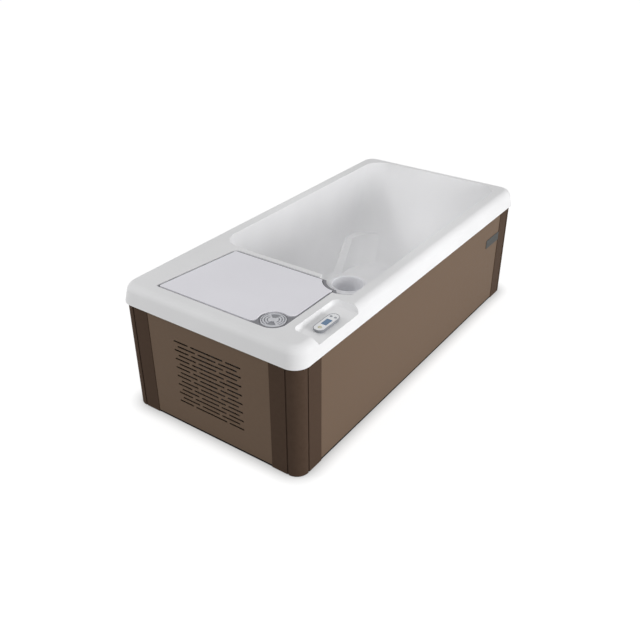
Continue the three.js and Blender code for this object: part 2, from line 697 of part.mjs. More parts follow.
function tubShell() {
  const rim = cut(rimBody(0, SKIRT_BOTTOM), rimBody(SHELL_WALL, SKIRT_BOTTOM - CUT_MARGIN));
  const outside = basinBody(SHELL_WALL);
  const inside = basinBody(0);
  const ledge = ledgeCorners();
  const rimFill = rimBody(SHELL_WALL / 2, SKIRT_BOTTOM);
  const deckTray = plate(recessShape(SHELL_WALL), RECESS.floor - SHELL_WALL, RIM_UNDERSIDE + 1);
  const ledgeTray = ledgeRoom(SHELL_WALL, ledge.floor - SHELL_WALL, RIM_UNDERSIDE + 1).intersect(rimFill);
  const trayFoot = RECESS.floor - SHELL_WALL;
  const alcoveTray = drum(WELL_ALCOVE_RADIUS + SHELL_WALL, WELL.x, WELL.y, trayFoot, RIM_UNDERSIDE + 1)
    .intersect(block(0, BASIN_HALF + SHELL_WALL, -RIM_LENGTH, BASIN_NEAR, 0, TUB_HEIGHT));
  const columnFoot = BASIN_FLOOR_HEIGHT - SHELL_WALL;
  const column = drum(WELL_COLUMN_RADIUS, WELL.x, WELL.y, columnFoot, RECESS.floor)
    .intersect(block(0, SIDE_X, BASIN_NEAR - SHELL_WALL, REAR_Y, 0, TUB_HEIGHT));
  const bolsters = cut(join(bolsterBlock(-1), bolsterBlock(1)).intersect(outside), bolsterRoom());
  const body = join(rim, outside, deckTray, ledgeTray, alcoveTray);
  const hollow = join(cut(body, inside), column, bolsters);
  const below = RECESS.floor - 2 * SHELL_WALL;
  const wellHole = drum(clear(WELL_RADIUS + WELL_WALL), WELL.x, WELL.y, below, TUB_HEIGHT);
  const dryColumn = drum(WELL_COLUMN_RADIUS - SHELL_WALL, WELL.x, WELL.y, -CUT_MARGIN, trayFoot);
  const top = TUB_HEIGHT + CUT_MARGIN;
  const alcove = drum(WELL_ALCOVE_RADIUS, WELL.x, WELL.y, RECESS.floor, top)
    .intersect(block(0, BASIN_HALF, -RIM_LENGTH, REAR_Y, 0, top));
  const access = roundedRectangle(RECESS.left + ACCESS_MARGIN_SIDE, RECESS.right - ACCESS_MARGIN_KNOB,
    RECESS.near + ACCESS_MARGIN_END, RECESS.far - ACCESS_MARGIN_END, ACCESS_CORNER);
  const back = controlBack(SEAT_GAP);
  return cut(hollow, plate(recessShape(0), RECESS.floor, top), plate(access, below, top),
    ledgeRoom(0, ledge.floor, top), alcove, wellHole, dryColumn,
    plate(back, ledge.floor - 2 * SHELL_WALL, top),
    drum(clear(VALVE_COLLAR_RADIUS), KNOB.x, KNOB.y, below, top),
    fittingHole(JET_PLACE), fittingHole(DRAIN_PLACE));
}

function fittingHole([x, z]) {
  return drumAlongY(clear(FITTING_BARREL), x, z, BASIN_NEAR - 2 * SHELL_WALL, BASIN_NEAR + SHELL_WALL);
}

// Equipment cover: a moulded skin on an insulating core, and the seal below it

function equipmentCover() {
  return plate(coverShape(0), TUB_HEIGHT - COVER_SKIN, TUB_HEIGHT);
}

function coverCore() {
  const bottom = TUB_HEIGHT - COVER_THICKNESS;
  return plate(coverShape(COVER_CORE_INSET), bottom, TUB_HEIGHT - COVER_SKIN - SEAT_GAP);
}

// A flat land under the edge of the cover, and an upstand that fills the gap round the cover
function coverSeal() {
  const bottom = RECESS.floor + SEAT_GAP;
  const landTop = TUB_HEIGHT - COVER_THICKNESS - SEAT_GAP;
  const top = TUB_HEIGHT - SEAL_DROP;
  const inside = plate(coverShape(SEAL_LAND), bottom - 1, landTop + 1);
  const cover = plate(coverShape(-SEAL_SIDE_GAP), landTop, top + 1);
  const collar = drum(clear(VALVE_COLLAR_RADIUS), KNOB.x, KNOB.y, bottom - 1, top + 1);
  const knob = drum(KNOB_RADIUS + SEAL_KNOB_GAP, KNOB.x, KNOB.y, landTop, top + 1);
  const well = drum(SEAL_WELL_RADIUS, WELL.x, WELL.y, bottom - 1, top + 1);
  return cut(plate(recessShape(-SEAT_GAP), bottom, top), inside, cover, collar, knob, well);
}

// Diverter valve

function valveKnob() {
  const top = TUB_HEIGHT - KNOB_TOP_DROP;
  const bottom = top - KNOB_HEIGHT;
  const profile = [[0, bottom], [KNOB_RADIUS - KNOB_FOOT_CHAMFER, bottom],
    [KNOB_RADIUS, bottom + KNOB_FOOT_CHAMFER], [KNOB_RADIUS, top - KNOB_CHAMFER],
    [KNOB_RADIUS - KNOB_CHAMFER, top], [0, top]];
  const disc = turned(profile, KNOB.x, KNOB.y, KNOB_SIDES);
  const hollowFloor = top - KNOB_RECESS_DEPTH;
  const hollow = drum(KNOB_RADIUS - KNOB_RIM_WIDTH, KNOB.x, KNOB.y, hollowFloor, top + CUT_MARGIN);
  const half = KNOB_GRIP_WIDTH / 2;
  const grip = block(-KNOB_RADIUS, KNOB_RADIUS, -half, half, bottom, top + CUT_MARGIN)
    .rotate([0, 0, KNOB_GRIP_TURN]).translate([KNOB.x, KNOB.y, 0]);
  const stem = drum(KNOB_STEM_RADIUS, KNOB.x, KNOB.y, bottom - KNOB_STEM_LENGTH, bottom + 1, SMALL_SIDES);
  return join(cut(disc, cut(hollow, grip)), stem);
}

function valveBody() {
  const nutTop = RECESS.floor - SHELL_WALL - SEAT_GAP;
  const nutBottom = nutTop - VALVE_NUT_HEIGHT;
  const collarTop = TUB_HEIGHT - KNOB_TOP_DROP - KNOB_HEIGHT - SEAT_GAP;
  const foot = nutBottom - VALVE_BODY_HEIGHT;
  const profile = [[0, foot - PUMP_PORT_LENGTH], [PIPE_RADIUS, foot - PUMP_PORT_LENGTH], [PIPE_RADIUS, foot],
    [VALVE_BODY_RADIUS, foot], [VALVE_BODY_RADIUS, nutBottom], [VALVE_NUT_RADIUS, nutBottom],
    [VALVE_NUT_RADIUS, nutTop], [VALVE_COLLAR_RADIUS, nutTop], [VALVE_COLLAR_RADIUS, collarTop],
    [0, collarTop]];
  const outlet = drumAlongY(PIPE_RADIUS, KNOB.x, nutBottom - VALVE_OUTLET_DROP,
    KNOB.y, KNOB.y + VALVE_BODY_RADIUS + PUMP_PORT_LENGTH, SMALL_SIDES);
  const stemHole = drum(clear(KNOB_STEM_RADIUS, SMALL_SIDES), KNOB.x, KNOB.y,
    collarTop - KNOB_STEM_LENGTH - 1, collarTop + 1, SMALL_SIDES);
  return cut(join(turned(profile, KNOB.x, KNOB.y), outlet), stemHole);
}

// Control on the ledge

const CONTROL = {
  x: SIDE_X - CONTROL_FROM_EDGE,
  y: ledgeCorners().near + LEDGE_LENGTH / 2 - CONTROL_SHIFT,
  seat: ledgeCorners().floor + SEAT_GAP,
};
CONTROL.top = CONTROL.seat + CONTROL_HEIGHT;
CONTROL.faceTop = CONTROL.top - CONTROL_FACE_DROP;
CONTROL.faceBottom = CONTROL.faceTop - CONTROL_FACE_THICKNESS;

function controlBack(offset) {
  return stadium(CONTROL.x, CONTROL.y, CONTROL_BACK_LENGTH + 2 * offset, CONTROL_BACK_WIDTH + 2 * offset);
}

function buttonPlaces() {
  return {
    button_power: [CONTROL.x, CONTROL.y + POWER_BUTTON_PLACE, POWER_BUTTON_RADIUS],
    button_up: [CONTROL.x - ARROW_BUTTON_SPREAD, CONTROL.y + ARROW_BUTTON_PLACE, ARROW_BUTTON_RADIUS],
    button_down: [CONTROL.x + ARROW_BUTTON_SPREAD, CONTROL.y + ARROW_BUTTON_PLACE, ARROW_BUTTON_RADIUS],
  };
}

function displayShape(offset) {
  const halfWidth = DISPLAY_WIDTH / 2 + offset;
  const halfLength = DISPLAY_LENGTH / 2 + offset;
  return roundedRectangle(CONTROL.x - halfWidth, CONTROL.x + halfWidth,
    CONTROL.y - halfLength, CONTROL.y + halfLength, DISPLAY_CORNER);
}

function controlHousing() {
  const outline = stadium(CONTROL.x, CONTROL.y, CONTROL_LENGTH, CONTROL_WIDTH);
  const bezel = plate(outline, CONTROL.seat, CONTROL.top);
  const back = plate(controlBack(0), CONTROL.seat - CONTROL_BACK_DEPTH, CONTROL.seat + 1);
  const faceLength = CONTROL_LENGTH - 2 * CONTROL_BEZEL + SEAT_GAP;
  const faceWidth = CONTROL_WIDTH - 2 * CONTROL_BEZEL + SEAT_GAP;
  const pocket = plate(stadium(CONTROL.x, CONTROL.y, faceLength, faceWidth),
    CONTROL.faceBottom - SEAT_GAP, CONTROL.top + CUT_MARGIN);
  const wells = Object.values(buttonPlaces()).map(([x, y, radius]) => drum(radius + BUTTON_CLEARANCE, x, y,
    CONTROL.faceBottom - BUTTON_TRAVEL - 1, CONTROL.top, SMALL_SIDES));
  return cut(join(bezel, back), pocket, ...wells);
}

function controlFace() {
  const length = CONTROL_LENGTH - 2 * CONTROL_BEZEL - SEAT_GAP;
  const width = CONTROL_WIDTH - 2 * CONTROL_BEZEL - SEAT_GAP;
  const face = plate(stadium(CONTROL.x, CONTROL.y, length, width), CONTROL.faceBottom, CONTROL.faceTop);
  const window = plate(displayShape(SEAT_GAP), CONTROL.faceBottom - 1, CONTROL.top);
  const holes = Object.values(buttonPlaces()).map(([x, y, radius]) => drum(radius + BUTTON_CLEARANCE, x, y,
    CONTROL.faceBottom - 1, CONTROL.top, SMALL_SIDES));
  return cut(face, window, ...holes);
}

function controlDisplay() {
  return plate(displayShape(0), CONTROL.faceBottom, CONTROL.faceTop);
}

function button([x, y, radius]) {
  const bottom = CONTROL.faceBottom - SEAT_GAP;
  const top = CONTROL.faceTop + BUTTON_PROUD;
  const profile = [[0, bottom], [radius, bottom], [radius, top - BUTTON_CHAMFER_DROP],
    [radius - BUTTON_CHAMFER, top], [0, top]];
  return turned(profile, x, y, SMALL_SIDES);
}

// Filter well

function filterCanister() {
  const lipTop = TUB_HEIGHT - WELL_LIP_DROP;
  const outer = WELL_RADIUS + WELL_WALL;
  const seat = RECESS.floor + SEAT_GAP;
  const flangeTop = seat + WELL_FLANGE_THICKNESS;
  const bottom = lipTop - WELL_DEPTH;
  const profile = [[0, bottom], [outer - WELL_WALL, bottom], [outer, bottom + WELL_WALL], [outer, seat],
    [WELL_FLANGE_RADIUS, seat], [WELL_FLANGE_RADIUS, flangeTop], [outer, flangeTop],
    [outer, lipTop - WELL_LIP_CHAMFER],
    [outer - WELL_LIP_OUTER, lipTop], [WELL_RADIUS + WELL_LIP_INNER, lipTop],
    [WELL_RADIUS, lipTop - WELL_LIP_CHAMFER],
    [WELL_RADIUS, bottom + 2 * WELL_WALL], [WELL_RADIUS - WELL_WALL, bottom + WELL_WALL],
    [0, bottom + WELL_WALL]];
  const can = turned(profile, WELL.x, WELL.y);
  const outletHeight = bottom + WELL_OUTLET_RISE;
  const outletEnd = WELL.y - outer - WELL_OUTLET_LENGTH;
  const outletRoot = WELL.y - WELL_RADIUS - 1;
  const outlet = drumAlongY(PIPE_RADIUS, WELL.x, outletHeight, outletEnd, outletRoot, SMALL_SIDES);
  const bore = drumAlongY(FITTING_BORE, WELL.x, outletHeight, outletEnd - 1, WELL.y, SMALL_SIDES);
  const trim = block(BASIN_HALF - SEAT_GAP, SIDE_X, FRONT_Y, REAR_Y, seat - 1, TUB_HEIGHT);
  return cut(join(can, outlet), bore, trim);
}

function filterCartridge() {
  const bottom = TUB_HEIGHT - WELL_LIP_DROP - WELL_DEPTH + WELL_WALL + SEAT_GAP;
  const top = bottom + CARTRIDGE_LENGTH;
  const points = [];
  for (let k = 0; k < 2 * CARTRIDGE_PLEATS; k += 1) {
    const angle = k / CARTRIDGE_PLEATS * Math.PI;
    const radius = CARTRIDGE_RADIUS - (k % 2) * CARTRIDGE_PLEAT_DEPTH;
    points.push([WELL.x + radius * Math.cos(angle), WELL.y + radius * Math.sin(angle)]);
  }
  const pleats = plate(polygon(points), bottom + 1, top - 1);
  const lowCap = drum(CARTRIDGE_RADIUS, WELL.x, WELL.y, bottom, bottom + CARTRIDGE_CAP_HEIGHT);
  const highCap = drum(CARTRIDGE_RADIUS, WELL.x, WELL.y, top - CARTRIDGE_CAP_HEIGHT, top);
  const half = CARTRIDGE_RADIUS - CARTRIDGE_BAIL_INSET;
  const bailTop = top + CARTRIDGE_BAIL_HEIGHT;
  const bail = new THREE.Shape();
  bail.moveTo(WELL.x - half, top - 1);
  bail.lineTo(WELL.x - half, bailTop);
  bail.lineTo(WELL.x + half, bailTop);
  bail.lineTo(WELL.x + half, top - 1);
  bail.lineTo(WELL.x + half - CARTRIDGE_BAIL_WIDTH, top - 1);
  bail.lineTo(WELL.x + half - CARTRIDGE_BAIL_WIDTH, bailTop - CARTRIDGE_BAIL_WIDTH);
  bail.lineTo(WELL.x - half + CARTRIDGE_BAIL_WIDTH, bailTop - CARTRIDGE_BAIL_WIDTH);
  bail.lineTo(WELL.x - half + CARTRIDGE_BAIL_WIDTH, top - 1);
  const handle = upright(bail, WELL.y - CARTRIDGE_BAIL_WIDTH / 2, WELL.y + CARTRIDGE_BAIL_WIDTH / 2);
  return join(pleats, lowCap, highCap, handle);
}

// Cabinet

// Plan of the post at one corner: depth in from the side face and from the end face
function postShape(sideX, endY, clearance, grooved) {
  const radius = CABINET_CORNER_RADIUS + clearance;
  const inner = POST_THICKNESS + clearance;
  const place = (fromSide, fromEnd) => new THREE.Vector2(
    sideX * (CABINET_X - fromSide), endY * (CABINET_Y - fromEnd));
  const points = [place(-clearance, POST_SIDE_FLANGE + clearance)];
  const grooveStart = CABINET_CORNER_RADIUS + POST_GROOVE_SETBACK;
  const grooveEnd = grooveStart + POST_GROOVE_WIDTH;
  if (grooved) {
    points.push(place(0, grooveEnd), place(POST_GROOVE_DEPTH, grooveEnd - 1),
      place(POST_GROOVE_DEPTH, grooveStart + 1), place(0, grooveStart));
  }
  const centre = CABINET_CORNER_RADIUS;
  for (let step = 0; step <= CORNER_STEPS; step += 1) {
    const angle = step / CORNER_STEPS * Math.PI / 2;
    points.push(place(centre - radius * Math.cos(angle), centre - radius * Math.sin(angle)));
  }
  if (grooved) {
    points.push(place(grooveStart, 0), place(grooveStart + 1, POST_GROOVE_DEPTH),
      place(grooveEnd - 1, POST_GROOVE_DEPTH), place(grooveEnd, 0));
  }
  points.push(place(POST_END_FLANGE + clearance, -clearance), place(POST_END_FLANGE + clearance, inner));
  const innerRadius = CABINET_CORNER_RADIUS - inner;
  for (let step = 0; step <= CORNER_STEPS; step += 1) {
    const angle = step / CORNER_STEPS * Math.PI / 2;
    points.push(place(centre - innerRadius * Math.sin(angle), centre - innerRadius * Math.cos(angle)));
  }
  points.push(place(inner, POST_SIDE_FLANGE + clearance));
  return new THREE.Shape(points);
}

function cornerPost(sideX, endY) {
  return plate(postShape(sideX, endY, 0, true), POST_FOOT_HEIGHT, POST_TOP);
}

function basePan() {
  const x = CABINET_X - BASE_INSET;
  const y = CABINET_Y - BASE_INSET;
  const pan = block(-x, x, -y, y, 0, BASE_THICKNESS);
  const posts = [];
  for (const sideX of [-1, 1]) {
    for (const endY of [-1, 1]) {
      const around = postShape(sideX, endY, PANEL_JOINT, false);
      posts.push(plate(around, -CUT_MARGIN, BASE_THICKNESS + CUT_MARGIN));
      posts.push(cornerChip(sideX, endY));
    }
  }
  return cut(pan, ...posts);
}

// The sharp corner of the base outside the rounded post
function cornerChip(sideX, endY) {
  const reach = CABINET_CORNER_RADIUS;
  const xs = [sideX * (CABINET_X - reach), sideX * CABINET_X].sort((a, b) => a - b);
  const ys = [endY * (CABINET_Y - reach), endY * CABINET_Y].sort((a, b) => a - b);
  const square = block(xs[0], xs[1], ys[0], ys[1], -CUT_MARGIN, BASE_THICKNESS + CUT_MARGIN);
  const round = drum(CABINET_CORNER_RADIUS - POST_THICKNESS, sideX * (CABINET_X - reach),
    endY * (CABINET_Y - reach), -2 * CUT_MARGIN, BASE_THICKNESS + 2 * CUT_MARGIN);
  return cut(square, round);
}

function endPanel(endY, grilled) {
  const half = CABINET_X - POST_END_FLANGE - PANEL_JOINT;
  const outline = polygon([[-half, STAND], [half, STAND], [half, POST_TOP],
    [-half, POST_TOP]]);
  if (grilled) outline.holes.push(...grilleSlots());
  const outer = CABINET_Y - PANEL_SETBACK;
  const inner = outer - PANEL_THICKNESS;
  return endY < 0 ? upright(outline, -outer, -inner) : upright(outline, inner, outer);
}

function grilleSlots() {
  const slots = [];
  for (let row = 0; row < GRILLE_ROWS; row += 1) {
    const z = TUB_HEIGHT - GRILLE_TOP_DROP - row * GRILLE_PITCH;
    const long = row % 2 === 0;
    const middle = long ? GRILLE_LONG_SLOT : GRILLE_EVEN_SLOT;
    const end = long ? GRILLE_END_SLOT : GRILLE_EVEN_SLOT;
    const aside = (middle + end) / 2 + GRILLE_GAP;
    slots.push(grilleSlot(-aside, z, end), grilleSlot(0, z, middle), grilleSlot(aside, z, end));
  }
  return slots;
}

function grilleSlot(x, z, length) {
  const radius = GRILLE_SLOT_HEIGHT / 2;
  const straight = length / 2 - radius;
  const slot = new THREE.Path();
  slot.absarc(x + straight, z, radius, -Math.PI / 2, Math.PI / 2);
  slot.absarc(x - straight, z, radius, Math.PI / 2, 1.5 * Math.PI);
  slot.closePath();
  return slot;
}

function sidePanel(sideX) {
  const half = CABINET_Y - POST_SIDE_FLANGE - PANEL_JOINT;
  const outer = CABINET_X - PANEL_SETBACK;
  const inner = outer - PANEL_THICKNESS;
  const xs = [sideX * inner, sideX * outer].sort((a, b) => a - b);
  return block(xs[0], xs[1], -half, half, STAND, POST_TOP);
}

function sidePlate() {
  const far = CABINET_Y - POST_SIDE_FLANGE - 2 * PANEL_JOINT;
  const face = CABINET_X - PANEL_SETBACK + SEAT_GAP;
  const top = TUB_HEIGHT - PLATE_TOP_DROP;
  return block(face, face + PLATE_THICKNESS, far - PLATE_LENGTH, far, top - PLATE_HEIGHT, top);
}

// Frame

const RAIL_TOP = TUB_HEIGHT - FRAME_RAIL_DROP;
const RAIL_BOTTOM = RAIL_TOP - FRAME_RAIL_HEIGHT;

function sideRail(sideX) {
  const outer = CABINET_X - PANEL_INNER - SEAT_GAP;
  const xs = [sideX * outer, sideX * (outer - FRAME_TUBE)].sort((a, b) => a - b);
  const half = CABINET_Y - CABINET_CORNER_RADIUS;
  return block(xs[0], xs[1], -half, half, RAIL_BOTTOM, RAIL_TOP);
}

function endRail(endY) {
  const outer = CABINET_Y - PANEL_INNER - SEAT_GAP;
  const ys = [endY * outer, endY * (outer - FRAME_TUBE)].sort((a, b) => a - b);
  const half = CABINET_X - CABINET_CORNER_RADIUS;
  return block(-half, half, ys[0], ys[1], RAIL_BOTTOM, RAIL_TOP);
}

function frameLeg(sideX, y) {
  const xs = [sideX * LEG_INNER, sideX * (LEG_INNER + FRAME_TUBE)].sort((a, b) => a - b);
  const half = FRAME_LEG_WIDTH / 2;
  return block(xs[0], xs[1], y - half, y + half, STAND, RIM_UNDERSIDE - SEAT_GAP);
}

// Foam round the basin, standing on the base
function foamJacket() {
  const around = basinBody(SHELL_WALL + FOAM_THICKNESS);
  const half = BASIN_HALF - BASIN_SIDE_DRAFT - BASIN_FLOOR_FILLET;
  const far = BASIN_FAR - BACKREST_SLOPE_RUN - BASIN_FLOOR_FILLET;
  const plinth = block(-half, half, BASIN_NEAR, far, STAND, WALL_BOTTOM);
  const top = TUB_HEIGHT - FOAM_TOP_DROP;
  const room = block(-SIDE_X, SIDE_X, BASIN_NEAR + FOAM_NEAR_SETBACK, REAR_Y, STAND, top);
  return cut(join(around, plinth).intersect(room), basinBody(SHELL_WALL + SEAT_GAP));
}

// Chiller behind the grille

const COIL = {
  front: BAY_FRONT + TRAY_FROM_PANEL + COIL_FROM_TRAY,
  bottom: TRAY_TOP + SEAT_GAP,
};
COIL.back = COIL.front + COIL_THICKNESS;
const SHROUD = { front: COIL.back + SEAT_GAP };
SHROUD.back = SHROUD.front + TRAY_SHEET;
SHROUD.ringEnd = SHROUD.back + SHROUD_RING_DEPTH;

function chillerTray() {
  const front = BAY_FRONT + TRAY_FROM_PANEL;
  const back = front + TRAY_LENGTH;
  const right = TRAY_LEFT + TRAY_WIDTH;
  const tray = block(TRAY_LEFT, right, front, back, STAND, STAND + TRAY_LIP);
  const inside = block(TRAY_LEFT + TRAY_SHEET, right - TRAY_SHEET, front + TRAY_SHEET, back - TRAY_SHEET,
    TRAY_TOP, STAND + TRAY_LIP + CUT_MARGIN);
  return cut(tray, inside);
}

// A finned block: the plan is a comb on both faces
function condenserCoil() {
  const pitch = COIL_WIDTH / COIL_FINS;
  const front = [];
  const back = [];
  for (let k = 0; k < COIL_FINS; k += 1) {
    const x = -COIL_WIDTH / 2 + k * pitch;
    const groove = x + COIL_FIN_SHARE * pitch;
    front.push([x, COIL.front], [groove, COIL.front], [groove, COIL.front + COIL_FIN_DEPTH],
      [x + pitch, COIL.front + COIL_FIN_DEPTH]);
    back.push([x, COIL.back], [groove, COIL.back], [groove, COIL.back - COIL_FIN_DEPTH],
      [x + pitch, COIL.back - COIL_FIN_DEPTH]);
  }
  return plate(polygon([...front, ...back.reverse()]), COIL.bottom, COIL.bottom + COIL_HEIGHT);
}

function fanShroud() {
  const half = COIL_WIDTH / 2;
  const sheet = block(-half, half, SHROUD.front, SHROUD.back, COIL.bottom, COIL.bottom + COIL_HEIGHT);
  const ringOuter = drumAlongY(FAN_OPENING_RADIUS + SHROUD_RING_WALL, 0, FAN_CENTRE_HEIGHT,
    SHROUD.front, SHROUD.ringEnd);
  const opening = drumAlongY(FAN_OPENING_RADIUS, 0, FAN_CENTRE_HEIGHT, SHROUD.front - 1, SHROUD.ringEnd + 1);
  return cut(join(sheet, ringOuter), opening);
}

// One blade: a loft of thin sections whose pitch falls from root to tip
function fanBlade() {
  const tip = FAN_OPENING_RADIUS - FAN_TIP_GAP;
  const rings = [];
  const root = FAN_HUB_RADIUS - FAN_ROOT_OVERLAP;
  for (let step = 0; step <= FAN_BLADE_SECTIONS; step += 1) {
    const share = step / FAN_BLADE_SECTIONS;
    const radius = root + (tip - root) * share;
    const pitch = THREE.MathUtils.degToRad(FAN_ROOT_PITCH + (FAN_TIP_PITCH - FAN_ROOT_PITCH) * share);
    const chord = FAN_CHORD * (FAN_ROOT_CHORD_SHARE + (1 - FAN_ROOT_CHORD_SHARE) * share) / 2;
    const half = FAN_BLADE_THICKNESS / 2;
    const upAxis = new THREE.Vector3(0, 0, 1);
    rings.push([[-chord, -half], [chord, -half], [chord, half], [-chord, half]].map(([x, y]) => (
      new THREE.Vector3(x, y, radius).applyAxisAngle(upAxis, pitch))));
  }
  return loft(rings);
}

function fanRotor() {
  const middle = (SHROUD.back + SHROUD.ringEnd) / 2;
  const hub = drumAlongY(FAN_HUB_RADIUS, 0, 0, -FAN_DEPTH / 2, FAN_DEPTH / 2);
  const blade = fanBlade();
  const blades = [];
  for (let k = 0; k < FAN_BLADES; k += 1) {
    blades.push(blade.rotate([0, k * 360 / FAN_BLADES, 0]));
  }
  const bore = drumAlongY(clear(FAN_SHAFT_RADIUS, SMALL_SIDES), 0, 0, -FAN_DEPTH / 4, FAN_DEPTH, SMALL_SIDES);
  const sweep = drumAlongY(FAN_OPENING_RADIUS - FAN_TIP_GAP, 0, 0, -FAN_CHORD, FAN_CHORD);
  return cut(join(hub, ...blades).intersect(sweep), bore).translate([0, middle, FAN_CENTRE_HEIGHT]);
}

// Motor on three arms that are fixed to the end of the shroud's ring
function fanMotor() {
  const front = SHROUD.ringEnd + SEAT_GAP;
  const middle = (SHROUD.back + SHROUD.ringEnd) / 2;
  const body = drumAlongY(FAN_MOTOR_RADIUS, 0, 0, front, front + FAN_MOTOR_LENGTH);
  const shaft = drumAlongY(FAN_SHAFT_RADIUS, 0, 0, middle, front + 1, SMALL_SIDES);
  const arm = block(-FAN_ARM_WIDTH / 2, FAN_ARM_WIDTH / 2, front, front + FAN_ARM_THICKNESS,
    0, FAN_OPENING_RADIUS + SHROUD_RING_WALL);
  const arms = FAN_ARM_TURNS.map((turn) => arm.rotate([0, turn, 0]));
  return join(body, shaft, ...arms).translate([0, 0, FAN_CENTRE_HEIGHT]);
}

function compressor() {
  const [x, fromPanel] = COMPRESSOR_PLACE;
  const y = BAY_FRONT + fromPanel;
  const foot = TRAY_TOP + SEAT_GAP;
  const top = foot + COMPRESSOR_HEIGHT;
  const radius = COMPRESSOR_RADIUS;
  const [bottomInset, bottomRise] = COMPRESSOR_BOTTOM_ROUND;
  const dome = COMPRESSOR_DOME.map(([inset, drop]) => [radius - inset, top - drop]);
  const profile = [[0, foot + COMPRESSOR_LIFT], [radius - bottomInset, foot + COMPRESSOR_LIFT],
    [radius, foot + bottomRise], ...dome, [0, top]];
  const half = COMPRESSOR_FOOT / 2;
  const outline = roundedRectangle(x - half, x + half, y - half, y + half, COMPRESSOR_FOOT_CORNER);
  const feet = plate(outline, foot, foot + COMPRESSOR_FOOT_THICKNESS);
  const { proud, into, width, top: topDrop, bottom: bottomDrop } = TERMINAL_BOX;
  const terminals = block(x - radius - proud, x - radius + into, y - width / 2, y + width / 2,
    top - bottomDrop, top - topDrop);
  return join(turned(profile, x, y), feet, terminals);
}

// Brazed plates: a stack with grooved sides and two water ports
function heatExchanger() {
  const [width, depth, height] = EXCHANGER_SIZE;
  const [centre, fromPanel] = EXCHANGER_PLACE;
  const x0 = centre - width / 2;
  const y0 = BAY_FRONT + fromPanel - depth / 2;
  const bottom = TRAY_TOP + SEAT_GAP;
  const pitch = depth / EXCHANGER_PLATES;
  const near = [];
  const far = [];
  for (let k = 0; k < EXCHANGER_PLATES; k += 1) {
    const y = y0 + k * pitch;
    const rim = y + EXCHANGER_PLATE_SHARE * pitch;
    const x1 = x0 + width;
    near.push([x0, y], [x0, rim], [x0 + EXCHANGER_GROOVE, rim], [x0 + EXCHANGER_GROOVE, y + pitch]);
    far.push([x1, y], [x1, rim], [x1 - EXCHANGER_GROOVE, rim], [x1 - EXCHANGER_GROOVE, y + pitch]);
  }
  const stack = plate(polygon([...near, ...far.reverse()]), bottom, bottom + height);
  const ports = exchangerPorts().map(([, y, z]) => drumAlongX(EXCHANGER_PORT_RADIUS, y, z,
    x0 - EXCHANGER_PORT_LENGTH, x0 + EXCHANGER_PORT_INTO, SMALL_SIDES));
  return join(stack, ...ports);
}

function exchangerPorts() {
  const [width, , height] = EXCHANGER_SIZE;
  const [centre, fromPanel] = EXCHANGER_PLACE;
  const x = centre - width / 2 - EXCHANGER_PORT_LENGTH;
  const y = BAY_FRONT + fromPanel;
  const bottom = TRAY_TOP + SEAT_GAP;
  return [[x, y, bottom + EXCHANGER_PORT_INSET], [x, y, bottom + height - EXCHANGER_PORT_INSET]];
}

// Circulation pump: finned motor along X, volute with an inlet on the axis and an outlet on top

const PUMP = { x: PUMP_PLACE[0], y: BAY_FRONT + PUMP_PLACE[1], z: STAND + PUMP_AXIS_HEIGHT };
PUMP.volute = PUMP.x + PUMP_MOTOR_LENGTH / 2 + SEAT_GAP;
PUMP.inlet = PUMP.volute + PUMP_VOLUTE_WIDTH + PUMP_PORT_LENGTH;

function pumpMotor() {
  const start = PUMP.x - PUMP_MOTOR_LENGTH / 2;
  const core = PUMP_MOTOR_RADIUS - PUMP_FIN_DEPTH;
  const pitch = PUMP_MOTOR_LENGTH / PUMP_MOTOR_FINS;
  const profile = [[0, start]];
  for (let k = 0; k < PUMP_MOTOR_FINS; k += 1) {
    const x = start + k * pitch;
    const fin = x + PUMP_FIN_START * pitch;
    profile.push([core, x], [core, fin], [PUMP_MOTOR_RADIUS, fin], [PUMP_MOTOR_RADIUS, x + pitch]);
  }
  profile.push([0, start + PUMP_MOTOR_LENGTH]);
  return turnedAlongX(profile, PUMP.y, PUMP.z, SMALL_SIDES);
}

function pumpWetEnd() {
  const body = drumAlongX(PUMP_VOLUTE_RADIUS, PUMP.y, PUMP.z, PUMP.volute, PUMP.volute + PUMP_VOLUTE_WIDTH);
  const inlet = drumAlongX(PIPE_RADIUS, PUMP.y, PUMP.z, PUMP.volute, PUMP.inlet, SMALL_SIDES);
  const middle = PUMP.volute + PUMP_VOLUTE_WIDTH / 2;
  const outlet = drum(PIPE_RADIUS, middle, PUMP.y, PUMP.z, STAND + PUMP_OUTLET_TOP, SMALL_SIDES);
  return join(body, inlet, outlet);
}

// A saddle under the motor
function pumpBase() {
  const halfLength = PUMP_BASE_LENGTH / 2;
  const halfWidth = PUMP_BASE_WIDTH / 2;
  const top = PUMP.z - PUMP_MOTOR_RADIUS / 2;
  const foot = block(PUMP.x - halfLength, PUMP.x + halfLength, PUMP.y - halfWidth, PUMP.y + halfWidth,
    STAND, STAND + PUMP_BASE_FOOT);
  const cradle = block(PUMP.x - halfLength / 2, PUMP.x + halfLength / 2,
    PUMP.y - halfWidth, PUMP.y + halfWidth, STAND, top);
  const motor = drumAlongX(clear(PUMP_MOTOR_RADIUS), PUMP.y, PUMP.z,
    PUMP.x - PUMP_MOTOR_LENGTH, PUMP.x + PUMP_MOTOR_LENGTH);
  return cut(join(foot, cradle), motor);
}

// Electrics fixed to the front legs of the frame

const LEG_FRONT_Y = -CABINET_Y + FRAME_LEG_FROM_END;

function controlBox() {
  const [width, length, height] = CONTROL_BOX_SIZE;
  const back = -LEG_INNER + SEAT_GAP;
  const y0 = LEG_FRONT_Y - FRAME_LEG_WIDTH / 2;
  const top = TUB_HEIGHT - CONTROL_BOX_TOP_DROP;
  return block(back, back + width, y0, y0 + length, top - height, top);
}

